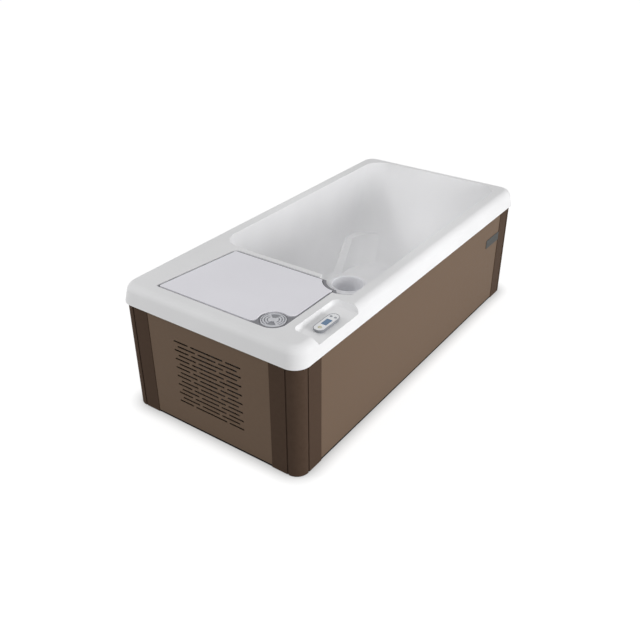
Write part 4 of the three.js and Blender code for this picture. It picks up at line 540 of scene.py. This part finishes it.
def recess_form(name, grow, low, high):
    """The room of the cover recess: a lean left side and one big round corner at the knob."""
    form = add_block(name, (RECESS_LEFT - grow, RECESS_NEAR - grow, low),
                     (RECESS_RIGHT + grow, RECESS_FAR + grow, high))
    lean = RECESS_LEAN * (1 + 2 * grow / (RECESS_FAR - RECESS_NEAR))
    move_points(form, (lean, 0, 0), lambda p: p.x < 0 and p.y > RECESS_FAR - COVER_GAP - 0.02)
    corners = [(RECESS_RIGHT + grow, RECESS_NEAR - grow, KNOB_CORNER + grow, 14),
               (RECESS_LEFT - grow, RECESS_NEAR - grow, NEAR_CORNER, 4),
               (RECESS_LEFT - grow + lean, RECESS_FAR + grow, max(FAR_CORNER + grow, NEAR_CORNER), 6)]
    for x, y, radius, steps in corners:
        at_corner = lambda a, b, x=x, y=y: upright(a, b) and abs(a.x - x) < 1e-4 and abs(a.y - y) < 1e-4
        round_edges(form, radius, steps, at_corner)
    return form


def ledge_form(name, grow, low, high):
    """The room of the control ledge: open to the side, sloped walls and a floor that falls outwards."""
    outer = SIDE + FAR_PAST
    form = add_block(name, (LEDGE_INNER, LEDGE_NEAR, low), (outer, LEDGE_FAR, high))
    for height in (low, high):
        out = (height - LEDGE_FLOOR) / (TOP - LEDGE_FLOOR) * LEDGE_DRAFT - LEDGE_DRAFT / 2 + grow
        at_height = lambda p, height=height: abs(p.z - height) < 1e-5
        move_points(form, (-out, 0, 0), lambda p: at_height(p) and p.x < SIDE)
        move_points(form, (0, -out, 0), lambda p: at_height(p) and p.y < (LEDGE_NEAR + LEDGE_FAR) / 2)
        move_points(form, (0, out, 0), lambda p: at_height(p) and p.y > (LEDGE_NEAR + LEDGE_FAR) / 2)
    fall = LEDGE_FALL * (outer - LEDGE_INNER) / (SIDE - LEDGE_INNER)
    at_floor = lambda p: p.z < (low + high) / 2
    move_points(form, (0, 0, -fall), lambda p: at_floor(p) and p.x > SIDE)
    round_edges(form, LEDGE_CORNER, 8, lambda a, b: upright(a, b) and a.x < SIDE)
    round_edges(form, LEDGE_FILLET, 6, lambda a, b: at_floor(a) and at_floor(b) and min(a.x, b.x) < SIDE)
    return form


def bolster_form(name, side):
    """One bolster's block, bevelled at its near end and top, then drawn out into the wall and the room."""
    wall = BASIN_HALF - BASIN_DRAFT * WALL_HEIGHT
    face = wall - BOLSTER_DEPTH
    foot = BASIN_FLOOR - WALL / 2
    near = BASIN_FAR - BOLSTER_NEAR_AT_FLOOR
    low, high = sorted((side * face, side * wall))
    block = add_block(name, (low, near, foot), (high, BASIN_FAR, BOLSTER_TOP))
    at_top = lambda p: p.z > foot + 0.01
    at_near = lambda p: p.y < BASIN_FAR - 0.01
    at_face = lambda p: abs(abs(p.x) - face) < 1e-5
    at_wall = lambda p: abs(abs(p.x) - wall) < 1e-5
    lean = BOLSTER_NEAR_AT_FLOOR - BOLSTER_NEAR_AT_TOP
    move_points(block, (0, lean, 0), lambda p: at_top(p) and at_near(p))
    move_points(block, (0, BOLSTER_BEVEL_NEAR, 0), lambda p: at_face(p) and at_near(p))
    move_points(block, (0, 0, -BOLSTER_BEVEL_TOP), lambda p: at_face(p) and at_top(p))
    for test, reach in ((at_wall, BASIN_HALF - wall), (at_face, -BOLSTER_CORNER)):
        pick_points(block, test)
        bpy.ops.mesh.extrude_region_move(TRANSFORM_OT_translate={"value": (side * reach, 0, 0)})
        bpy.ops.object.mode_set(mode="OBJECT")
    return block


def rim_form(name, inset, low):
    """The rim with its leaning skirt and round top edge, drawn in by an inset."""
    high = TOP - inset
    lean = RIM_DRAFT / (SKIRT - RIM_EDGE)
    draw = inset + lean * (low - TOP + SKIRT)
    half, end = SIDE - draw, REAR - draw
    form = add_block(name, (-half, -end, low), (half, end, high))
    narrower = lean * (high - low)
    pick_points(form, lambda p: p.z > high - 1e-5)
    shrink = (1 - narrower / half, 1 - narrower / end, 1)
    bpy.ops.transform.resize(value=shrink, center_override=(0, 0, high))
    bpy.ops.object.mode_set(mode="OBJECT")
    round_edges(form, RIM_CORNER - inset, 18, upright)
    round_edges(form, RIM_EDGE - inset, 10, level_at(high))
    return form


def shell_piece():
    rim = rim_form("shell", 0, TOP - SKIRT)
    carve(rim, rim_form("under", WALL, TOP - SKIRT - WALL))
    weld(rim, basin_form("outside", WALL, BASIN_FLOOR - WALL, TOP - WALL / 2))
    weld(rim, recess_form("deck_tray", WALL, RECESS_FLOOR - WALL, TOP - WALL / 2))
    tray_low, tray_high = RECESS_FLOOR - WALL, TOP - WALL / 2
    tray = add_drum("alcove_tray", ALCOVE_RADIUS + WALL, WELL_X, WELL_Y, tray_low, tray_high)
    weld(rim, clip(tray, add_block("room", (0, -1, 0), (BASIN_HALF + WALL, BASIN_NEAR, 1))))
    carve(rim, basin_form("inside", 0, BASIN_FLOOR, TOP + FAR_PAST))
    lip = level_at(TOP)
    within = lambda p: abs(p.x) < BASIN_HALF + 0.01 and BASIN_NEAR - 0.001 < p.y < BASIN_FAR + 0.02
    round_edges(rim, LIP_ROUND, 8, lambda a, b: lip(a, b) and within(a) and within(b))
    return rim


def soften_ledge(shell):
    """Rounds the top edge of the ledge's walls."""
    lip = level_at(TOP)
    along = lambda p: LEDGE_NEAR - 0.02 < p.y < LEDGE_FAR + 0.02
    across = lambda p: LEDGE_INNER - 0.02 < p.x < SIDE - RIM_EDGE - RIM_DRAFT
    within = lambda p: along(p) and across(p)
    round_edges(shell, LEDGE_SOFT_EDGE, 5, lambda a, b: lip(a, b) and within(a) and within(b))


def shell_details(shell):
    """Cuts the deck, the ledge and the filter well into the shell, and adds the pads."""
    for side in (-1, 1):
        pad = clip(bolster_form("pad", side), basin_form("room", WALL / 2, BASIN_FLOOR - WALL / 2, TOP))
        weld(shell, carve(pad, bolster_room("between")))
    column = add_drum("column", COLUMN_RADIUS, WELL_X, WELL_Y, BASIN_FLOOR - WALL, RECESS_FLOOR)
    clip(column, add_block("room", (0, BASIN_NEAR - WALL, 0), (SIDE, 0, TOP)))
    weld(shell, column)
    carve(shell, recess_form("recess", 0, RECESS_FLOOR, TOP + FAR_PAST))
    alcove = add_drum("alcove", ALCOVE_RADIUS, WELL_X, WELL_Y, RECESS_FLOOR, TOP + FAR_PAST)
    clip(alcove, add_block("room", (0, -1, 0), (BASIN_HALF, 0, 1)))
    carve(shell, alcove)
    ledge_tray = ledge_form("ledge_tray", WALL, LEDGE_FLOOR - WALL, TOP - WALL)
    weld(shell, clip(ledge_tray, rim_form("room", WALL / 2, TOP - SKIRT)))
    carve(shell, ledge_form("ledge", 0, LEDGE_FLOOR, TOP + FAR_PAST))
    soften_ledge(shell)
    below = RECESS_FLOOR - 2 * PAST
    carve(shell, add_drum("well_hole", WELL_HOLE, WELL_X, WELL_Y, below, TOP))
    carve(shell, add_drum("dry_column", COLUMN_RADIUS - WALL, WELL_X, WELL_Y, -PAST, RECESS_FLOOR - WALL))
    access = add_block("access", (*ACCESS_LOW, below), (*ACCESS_HIGH, TOP))
    round_edges(access, ACCESS_CORNER, 6, upright)
    carve(shell, access)
    carve(shell, add_drum("collar_hole", COLLAR_HOLE, KNOB_X, KNOB_Y, below, TOP))
    return smooth(shell, SHELL_SMOOTH_ANGLE)


shell = shell_details(shell_piece())
dress(shell, "tub", "acrylic", ACRYLIC, "tub_shell")


# Equipment cover and its seal

def cover_form(name, inset, low, high):
    """The hatch: the recess drawn in, with a flared notch round the knob and one round the filter well."""
    gap = COVER_GAP + inset
    notch = COVER_KNOB_NOTCH + inset
    flare = COVER_FLARE - inset
    reach = notch + flare
    below, above = low - PAST, high + PAST
    near_y = RECESS_NEAR + gap + flare
    near_x = KNOB_X - math.sqrt(reach ** 2 - (near_y - KNOB_Y) ** 2)
    side_x = RECESS_RIGHT - gap - flare
    side_y = KNOB_Y + math.sqrt(reach ** 2 - (side_x - KNOB_X) ** 2)
    meet_y = near_y + (KNOB_Y - near_y) * flare / reach
    meet_x = side_x + (KNOB_X - side_x) * flare / reach
    near_flare = add_block("flare", (near_x, RECESS_NEAR, below), (KNOB_X, meet_y, above))
    carve(near_flare, add_drum("turn", flare, near_x, near_y, below - PAST, above + PAST))
    side_flare = add_block("flare", (meet_x, KNOB_Y, below), (RECESS_RIGHT, side_y, above))
    carve(side_flare, add_drum("turn", flare, side_x, side_y, below - PAST, above + PAST))
    form = recess_form(name, -gap, low, high)
    carve(form, add_drum("notch", notch, KNOB_X, KNOB_Y, below, above))
    carve(form, near_flare)
    carve(form, side_flare)
    carve(form, add_drum("well_notch", COVER_WELL_NOTCH + inset, WELL_X, WELL_Y, below, above))
    return merge_points(form, 0.0006)


def cover_pieces():
    low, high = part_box("equipment_cover")
    cover = cover_form("cover", 0, low.z, high.z)
    round_edges(cover, COVER_ROUND, 3, level_at(high.z), False)
    dress(smooth(cover), "cover", "acrylic", LID, "equipment_cover")
    low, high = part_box("cover_core")
    core = cover_form("cover_foam", COVER_CORE_INSET, low.z, high.z)
    round_edges(core, CORE_ROUND, 2, level_at(low.z), False)
    dress(smooth(core), "cover", "foam", FOAM, "cover_core")


def seal_piece():
    """A land under the edge of the cover, and an upstand that fills the gap round cover and knob."""
    low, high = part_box("cover_seal")
    land_top = TOP - COVER_THICKNESS - SEAT_GAP
    below, above = low.z - PAST, high.z + PAST
    seal = recess_form("seal", -SEAT_GAP, low.z, high.z)
    round_edges(seal, SEAL_ROUND, 2, level_at(high.z), False)
    carve(seal, cover_form("inside", SEAL_LAND, below, above))
    carve(seal, cover_form("lid", -SEAL_SIDE_GAP, land_top, above))
    carve(seal, add_drum("collar", VALVE_COLLAR + SEAT_GAP, KNOB_X, KNOB_Y, below, above))
    carve(seal, add_drum("knob_room", KNOB_RADIUS + SEAL_KNOB_GAP, KNOB_X, KNOB_Y, land_top, above))
    carve(seal, add_drum("well", SEAL_WELL, WELL_X, WELL_Y, below, above))
    dress(smooth(seal), "tub", "seal", SEAL, "cover_seal")


cover_pieces()
seal_piece()


# Twist knob

def arc_bar(name, inner, outer, low, high, start, sweep):
    """A bar bent round the knob's axis between two radii, clockwise from its start."""
    deselect()
    middle = (inner + outer) / 2
    place = (KNOB_X + middle * math.cos(start), KNOB_Y + middle * math.sin(start), (low + high) / 2)
    bpy.ops.mesh.primitive_plane_add(size=1, location=place, rotation=(math.pi / 2, 0, start))
    bpy.context.object.scale = (outer - inner, high - low, 1)
    bar = settle(name)
    take(bar)
    bpy.ops.object.mode_set(mode="EDIT")
    bpy.ops.mesh.select_all(action="SELECT")
    steps = max(6, round(math.degrees(sweep) / 4))
    bpy.ops.mesh.spin(steps=steps, angle=sweep, center=(KNOB_X, KNOB_Y, 0), axis=(0, 0, 1))
    bpy.ops.mesh.select_all(action="SELECT")
    bpy.ops.mesh.remove_doubles(threshold=0.00001)
    bpy.ops.mesh.normals_make_consistent(inside=False)
    bpy.ops.object.mode_set(mode="OBJECT")
    return bar


def knob_pieces():
    """A pale cap with two finger hollows and stepped arcs over a darker disc."""
    low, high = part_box("valve_knob")
    bottom = high.z - KNOB_HEIGHT
    floor = high.z - KNOB_HOLLOW
    above = high.z + PAST
    cap = add_drum("knob_cap", KNOB_RADIUS, KNOB_X, KNOB_Y, bottom, high.z)
    for side in (0, math.pi):
        start = FINGER_START + side
        carve(cap, arc_bar("hollow", FINGER_INNER, FINGER_OUTER, floor, above, start, FINGER_SWEEP))
        for radius in ARC_RADII:
            inner, outer = radius - ARC_HALF_WIDTH, radius + ARC_HALF_WIDTH
            carve(cap, arc_bar("groove", inner, outer, floor, above, ARC_START + side, ARC_SWEEP))
    round_edges(cap, KNOB_ROUND, 3, lambda a, b: rim_edge(a, high.z) and rim_edge(b, high.z), False)
    dress(smooth(cap), "knob", "knob", KNOB, "valve_knob")
    disc_top = floor + 0.0002
    disc = add_drum("knob_disc", KNOB_RADIUS - KNOB_DISC_INSET, KNOB_X, KNOB_Y, bottom + 0.001, disc_top)
    round_edges(disc, 0.0001, 1, level_at(disc_top))
    dress(smooth(disc), "knob", "knob", KNOB_SHADE, "valve_knob")
    stem = add_drum("knob_stem", KNOB_STEM, KNOB_X, KNOB_Y, low.z, bottom + 0.001, 32)
    round_edges(stem, 0.001, 2, level_at(low.z))
    dress(smooth(stem), "knob", "knob", KNOB, "valve_knob")


def rim_edge(point, height):
    """A point on the knob's outer top edge."""
    from_axis = math.hypot(point.x - KNOB_X, point.y - KNOB_Y)
    return abs(point.z - height) < 1e-5 and from_axis > KNOB_RADIUS - 0.001


knob_pieces()


# Control on the ledge

def oval(name, grow, low, high):
    """A block with half-round ends at the control's place, grown outwards."""
    half_width = CONTROL_WIDTH / 2 + grow
    half_length = CONTROL_LENGTH / 2 + grow
    form = add_block(name, (CONTROL_X - half_width, CONTROL_Y - half_length, low),
                     (CONTROL_X + half_width, CONTROL_Y + half_length, high))
    round_edges(form, half_width - 0.0001, 12, upright)
    return merge_points(form, 0.0004)


def control_pieces():
    low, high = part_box("control_housing")
    face_low, face_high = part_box("control_face")
    seat = LEDGE_FLOOR + SEAT_GAP
    housing = oval("control_bezel", 0, seat, high.z)
    carve(housing, oval("pocket", -CONTROL_BEZEL, face_low.z - SEAT_GAP, high.z + PAST))
    round_edges(housing, CONTROL_ROUND, 2, level_at(high.z), False)
    weld(housing, oval("back", -CONTROL_BACK_INSET, low.z, seat + 0.001))
    dress(smooth(housing), "tub", "bezel", BEZEL, "control_housing")
    face = oval("control_face", -CONTROL_BEZEL - SEAT_GAP, face_low.z, face_high.z)
    round_edges(face, FACE_ROUND, 2, level_at(face_high.z), False)
    below, above = face_low.z - PAST, face_high.z + PAST
    screen_low, screen_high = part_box("control_display")
    window = add_block("window", (screen_low.x - SEAT_GAP, screen_low.y - SEAT_GAP, below),
                       (screen_high.x + SEAT_GAP, screen_high.y + SEAT_GAP, above))
    round_edges(window, WINDOW_CORNER, 4, upright)
    carve(face, window)
    for button in ("button_power", "button_up", "button_down"):
        hole_low, hole_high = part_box(button)
        radius = (hole_high.x - hole_low.x) / 2
        x = (hole_low.x + hole_high.x) / 2
        y = (hole_low.y + hole_high.y) / 2
        carve(face, add_drum("hole", radius + BUTTON_GAP, x, y, below, above, BUTTON_SIDES))
        cap = add_drum(button + "_cap", radius, x, y, hole_low.z, hole_high.z, BUTTON_SIDES)
        round_edges(cap, BUTTON_ROUND, 3, level_at(hole_high.z))
        finish = POWER if button == "button_power" else BUTTON
        dress(smooth(cap), button.split("_")[1] + "_button", "button", finish, button)
    dress(smooth(face), "tub", "face", FACE, "control_face")
    screen = add_block("screen", screen_low, screen_high)
    round_edges(screen, WINDOW_CORNER, 4, upright)
    round_edges(screen, SCREEN_ROUND, 2, level_at(screen_high.z))
    dress(smooth(screen), "tub", "display", DISPLAY, "control_display")


control_pieces()


# Filter well

def canister_piece():
    low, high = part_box("filter_canister")
    seat = RECESS_FLOOR + SEAT_GAP
    can = add_drum("filter_can", WELL_RADIUS + WELL_WALL, WELL_X, WELL_Y, low.z, high.z)
    weld(can, add_drum("flange", WELL_FLANGE, WELL_X, WELL_Y, seat, seat + FLANGE_THICKNESS))
    carve(can, add_drum("bore", WELL_RADIUS, WELL_X, WELL_Y, low.z + WELL_WALL, high.z + PAST))
    round_edges(can, WELL_ROUND, 4, level_at(high.z), False)
    round_edges(can, WELL_WALL, 4, level_at(low.z), False)
    axis = low.z + OUTLET_HEIGHT
    weld(can, add_pipe_end("outlet", PIPE_RADIUS, WELL_X, axis, low.y, WELL_Y - WELL_RADIUS - 0.001))
    carve(can, add_pipe_end("bore", PIPE_BORE, WELL_X, axis, low.y - PAST, WELL_Y))
    carve(can, add_block("trim", (BASIN_HALF - SEAT_GAP, -1, seat - 0.001), (SIDE, 0, TOP)))
    dress(smooth(can), "tub", "pipe", PIPE, "filter_canister")


def add_pipe_end(name, radius, x, z, near, far):
    """A drum that lies along the tub."""
    deselect()
    bpy.ops.mesh.primitive_cylinder_add(vertices=40, radius=radius, depth=far - near,
                                        location=(x, (near + far) / 2, z), rotation=(math.pi / 2, 0, 0))
    return settle(name)


canister_piece()


# Cabinet

def panel_block(node):
    low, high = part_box(node)
    return add_block(node + "_board", low, high)


def grille_slots(low, high):
    """All the slots of the grille as one tool: long rows and even rows take turns."""
    slots = []
    for row in range(GRILLE_ROWS):
        z = TOP - GRILLE_DROP - row * GRILLE_PITCH
        middle = GRILLE_LONG if row % 2 == 0 else GRILLE_EVEN
        end = GRILLE_END if row % 2 == 0 else GRILLE_EVEN
        aside = (middle + end) / 2 + GRILLE_GAP
        for x, length in ((-aside, end), (0, middle), (aside, end)):
            slot = add_block("slot", (x - length / 2, low - PAST, z - GRILLE_HEIGHT / 2),
                             (x + length / 2, high + PAST, z + GRILLE_HEIGHT / 2))
            round_edges(slot, GRILLE_HEIGHT / 2 - 0.0001, 5, lambda a, b: abs(a.y - b.y) > 0.001)
            slots.append(slot)
    deselect()
    for slot in slots:
        slot.select_set(True)
    bpy.context.view_layer.objects.active = slots[0]
    bpy.ops.object.join()
    return bpy.context.object


def grille_pocket(low, high):
    """The room behind the slots, which leaves a thin wall in front."""
    half = GRILLE_LONG / 2 + GRILLE_GAP + GRILLE_END + GRILLE_GAP
    top = TOP - GRILLE_DROP + GRILLE_PITCH
    bottom = TOP - GRILLE_DROP - GRILLE_ROWS * GRILLE_PITCH
    return add_block("pocket", (-half, low, bottom), (half, high + PAST, top))


def panel_pieces():
    for side in ("front", "rear", "left", "right"):
        node = side + "_panel"
        board = panel_block(node)
        round_edges(board, PANEL_ROUND, 2, lambda a, b: True)
        if side == "front":
            low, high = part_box(node)
            carve(board, grille_slots(low.y, high.y))
            carve(board, grille_pocket(low.y + GRILLE_WALL, high.y))
        dress(smooth(board), "tub", "panel", PANEL, node)


def post_form(name):
    """The post of the front right corner: two flanges, a round corner and a groove along each flange."""
    low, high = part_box("corner_post_front_right")
    post = add_block(name, low, high)
    outer = lambda a, b: upright(a, b) and a.x > high.x - 1e-4 and a.y < low.y + 1e-4
    round_edges(post, POST_CORNER, 14, outer)
    wall_x, wall_y = high.x - POST_THICKNESS, low.y + POST_THICKNESS
    inner = add_block("inner", (low.x - PAST, wall_y, low.z - PAST), (wall_x, high.y + PAST, high.z + PAST))
    inside = lambda a, b: upright(a, b) and a.x > wall_x - 1e-4 and a.y < wall_y + 1e-4
    round_edges(inner, POST_CORNER - POST_THICKNESS, 10, inside)
    carve(post, inner)
    start, end = GROOVE_START, GROOVE_START + GROOVE_WIDTH
    end_low, end_high = (high.x - end, low.y - PAST, 0), (high.x - start, low.y + GROOVE_DEPTH, 1)
    carve(post, add_block("groove", end_low, end_high))
    side_low, side_high = (high.x - GROOVE_DEPTH, low.y + start, 0), (high.x + PAST, low.y + end, 1)
    carve(post, add_block("groove", side_low, side_high))
    outer_edges = lambda a, b: upright(a, b) and post_face(a, low, high)
    round_edges(post, POST_ROUND, 2, outer_edges, False)
    return smooth(post)


def post_face(point, low, high):
    """A point on an outer face of the post, clear of its round corner."""
    on_side = point.x > high.x - 1e-4 and point.y > low.y + POST_CORNER + 0.001
    on_end = point.y < low.y + 1e-4 and point.x < high.x - POST_CORNER - 0.001
    return on_side or on_end


def post_pieces():
    model = post_form("post")
    for end, flip_y in (("front", 1), ("rear", -1)):
        for side, flip_x in (("right", 1), ("left", -1)):
            node = f"corner_post_{end}_{side}"
            post = model.copy()
            post.data = model.data.copy()
            bpy.context.collection.objects.link(post)
            take(post)
            post.scale = (flip_x, flip_y, 1)
            settle(node + "_cladding")
            bpy.ops.object.mode_set(mode="EDIT")
            bpy.ops.mesh.select_all(action="SELECT")
            bpy.ops.mesh.normals_make_consistent(inside=False)
            bpy.ops.object.mode_set(mode="OBJECT")
            dress(smooth(post), "tub", "post", POST, node)
    bpy.data.objects.remove(model)


def plate_piece():
    low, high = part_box("side_plate")
    plate = add_block("bare_plate", low, high)
    round_edges(plate, PLATE_CORNER, 4, lambda a, b: abs(a.x - b.x) > 0.001)
    round_edges(plate, 0.0006, 2, lambda a, b: a.x > high.x - 1e-5 and b.x > high.x - 1e-5)
    dress(smooth(plate), "tub", "plate", PLATE, "side_plate")


panel_pieces()
post_pieces()
plate_piece()


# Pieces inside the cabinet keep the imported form, with softened edges where they are boxes

def inside_piece(node, body, slot, material, edge):
    piece = bpy.data.objects.new(node + "_made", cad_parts[node].data.copy())
    bpy.context.collection.objects.link(piece)
    merge_points(piece, 0.00002)
    if edge:
        step = piece.modifiers.new("soft_edges", "BEVEL")
        step.width = edge
        step.segments = 2
        step.limit_method = "ANGLE"
        step.angle_limit = math.radians(50)
        bpy.ops.object.modifier_apply(modifier=step.name)
    dress(smooth(piece), body, slot, material, node)


for side in ("left", "right"):
    inside_piece("frame_rail_" + side, "tub", "frame", STEEL, 0.002)
    for place in ("front", "middle", "rear"):
        inside_piece(f"frame_leg_{place}_{side}", "tub", "frame", STEEL, 0.002)
for end in ("front", "rear"):
    inside_piece("frame_rail_" + end, "tub", "frame", STEEL, 0.002)
for node in ("filter_pipe", "chiller_feed_pipe", "chiller_return_pipe", "return_pipe"):
    inside_piece(node, "tub", "pipe", PIPE, 0)
for node in ("valve_body", "return_jet", "drain_fitting"):
    inside_piece(node, "tub", "pipe", PIPE, 0.0006)
for node in ("pump_wet_end", "pump_base"):
    inside_piece(node, "tub", "black", BLACK, 0.001)
for node in ("fan_motor", "compressor", "pump_motor"):
    inside_piece(node, "tub", "motor", MOTOR, 0.0008)
for node in ("chiller_tray", "fan_shroud", "control_box_cover"):
    inside_piece(node, "tub", "sheet", SHEET, 0.0006)
for node in ("heat_exchanger", "drain_valve"):
    inside_piece(node, "tub", "steel", BRUSHED, 0.0008)
for node in ("base_pan", "control_box"):
    inside_piece(node, "tub", "base", BASE, 0.001)
inside_piece("foam_jacket", "tub", "foam", FOAM, 0)
# The coil's dark fins paint the shade behind the grille slots.
inside_piece("condenser_coil", "tub", "fin", FIN, 0)
inside_piece("ozone_generator", "tub", "face", FACE, 0.001)
inside_piece("filter_cartridge", "cartridge", "filter", FILTER, 0)
inside_piece("fan_rotor", "fan", "black", BLACK, 0)
inside_piece("drain_handle", "drain_lever", "lever", LEVER, 0.001)


# Camera, floor and light

FLOOR_SHADE = 0.40
FLOOR_GLOW = 0.80
# Reach of the painted contact shadow in the floor's glow.
CONTACT_SHADOW_REACH = 0.07
ROOM_LIGHT = 0.525


def place_camera():
    deselect()
    bpy.ops.object.camera_add(
        location=(1.8262, -2.7975, 2.1144), rotation=(math.radians(58.96), 0, math.radians(35)))
    camera = bpy.context.object
    camera.data.lens = 42.42
    camera.data.sensor_width = 36
    bpy.context.scene.camera = camera


def seen_rays(tree):
    """One where the camera, a reflection or a clear piece sees the surface, and zero for its light."""
    ray = tree.nodes.new("ShaderNodeLightPath")
    seen = ray.outputs["Is Camera Ray"]
    for other in ("Is Glossy Ray", "Is Transmission Ray"):
        either = tree.nodes.new("ShaderNodeMath")
        either.operation = "MAXIMUM"
        tree.links.new(seen, either.inputs[0])
        tree.links.new(ray.outputs[other], either.inputs[1])
        seen = either.outputs["Value"]
    return seen


def pale_floor():
    deselect()
    bpy.ops.mesh.primitive_plane_add(size=40, location=(0, 0, 0))
    floor = settle("floor")
    material = bpy.data.materials.new("pale_floor")
    material.use_nodes = True
    tree = material.node_tree
    tree.nodes.clear()
    output = tree.nodes.new("ShaderNodeOutputMaterial")
    matt = tree.nodes.new("ShaderNodeBsdfDiffuse")
    matt.inputs["Color"].default_value = (FLOOR_SHADE, FLOOR_SHADE, FLOOR_SHADE, 1)
    glow = tree.nodes.new("ShaderNodeEmission")
    # Ambient occlusion darkens the floor's glow near the tub: a painted contact shadow.
    contact_shadow = tree.nodes.new("ShaderNodeAmbientOcclusion")
    contact_shadow.samples = 16
    contact_shadow.inputs["Distance"].default_value = CONTACT_SHADOW_REACH
    level = tree.nodes.new("ShaderNodeMath")
    level.operation = "MULTIPLY"
    level.inputs[1].default_value = FLOOR_GLOW
    both = tree.nodes.new("ShaderNodeAddShader")
    tree.links.new(seen_rays(tree), level.inputs[0])
    tree.links.new(contact_shadow.outputs["Color"], glow.inputs["Color"])
    tree.links.new(level.outputs["Value"], glow.inputs["Strength"])
    tree.links.new(matt.outputs["BSDF"], both.inputs[0])
    tree.links.new(glow.outputs["Emission"], both.inputs[1])
    tree.links.new(both.outputs["Shader"], output.inputs["Surface"])
    floor.data.materials.append(material)


def pale_world():
    world = bpy.data.worlds.new("pale_room")
    bpy.context.scene.world = world
    world.use_nodes = True
    tree = world.node_tree
    background = tree.nodes["Background"]
    background.inputs["Color"].default_value = (1, 1, 1, 1)
    level = tree.nodes.new("ShaderNodeMapRange")
    level.inputs["To Min"].default_value = ROOM_LIGHT
    level.inputs["To Max"].default_value = 1.0
    tree.links.new(seen_rays(tree), level.inputs["Value"])
    tree.links.new(level.outputs["Result"], background.inputs["Strength"])


def area_light(name, location, target, size, power, spread=180):
    deselect()
    bpy.ops.object.light_add(type="AREA", location=location)
    light = bpy.context.object
    light.name = name
    light.data.shape = "DISK"
    light.data.size = size
    light.data.energy = power
    light.data.spread = math.radians(spread)
    aim = [b - a for a, b in zip(location, target)]
    flat = math.hypot(aim[0], aim[1])
    light.rotation_euler = (math.atan2(flat, -aim[2]), 0, math.atan2(aim[1], aim[0]) - math.pi / 2)
    return light


place_camera()
pale_floor()
pale_world()
key = area_light("key", (4.6, 0.0, 1.0), (0, 0, 0.4), 2.4, 116)
key.visible_glossy = False
area_light("front_fill", (-0.8, -5.0, 0.9), (0, 0, 0.4), 3.0, 22)
area_light("edge", (-2.2, -2.9, 2.9), (0, -0.9, 0.6), 0.8, 21)
area_light("basin", (0, 0.22, 2.6), (0, 0.22, 0), 0.7, 0.28, 24)
area_light("bolster", (0.3, -1.6, 2.0), (-0.36, 0.52, 0.2), 0.25, 0.04, 10)
area_light("backrest", (0, -1.4, 2.5), (0, 0.8, 0.4), 0.4, 0.14, 16)
bpy.context.scene.view_settings.view_transform = "Standard"
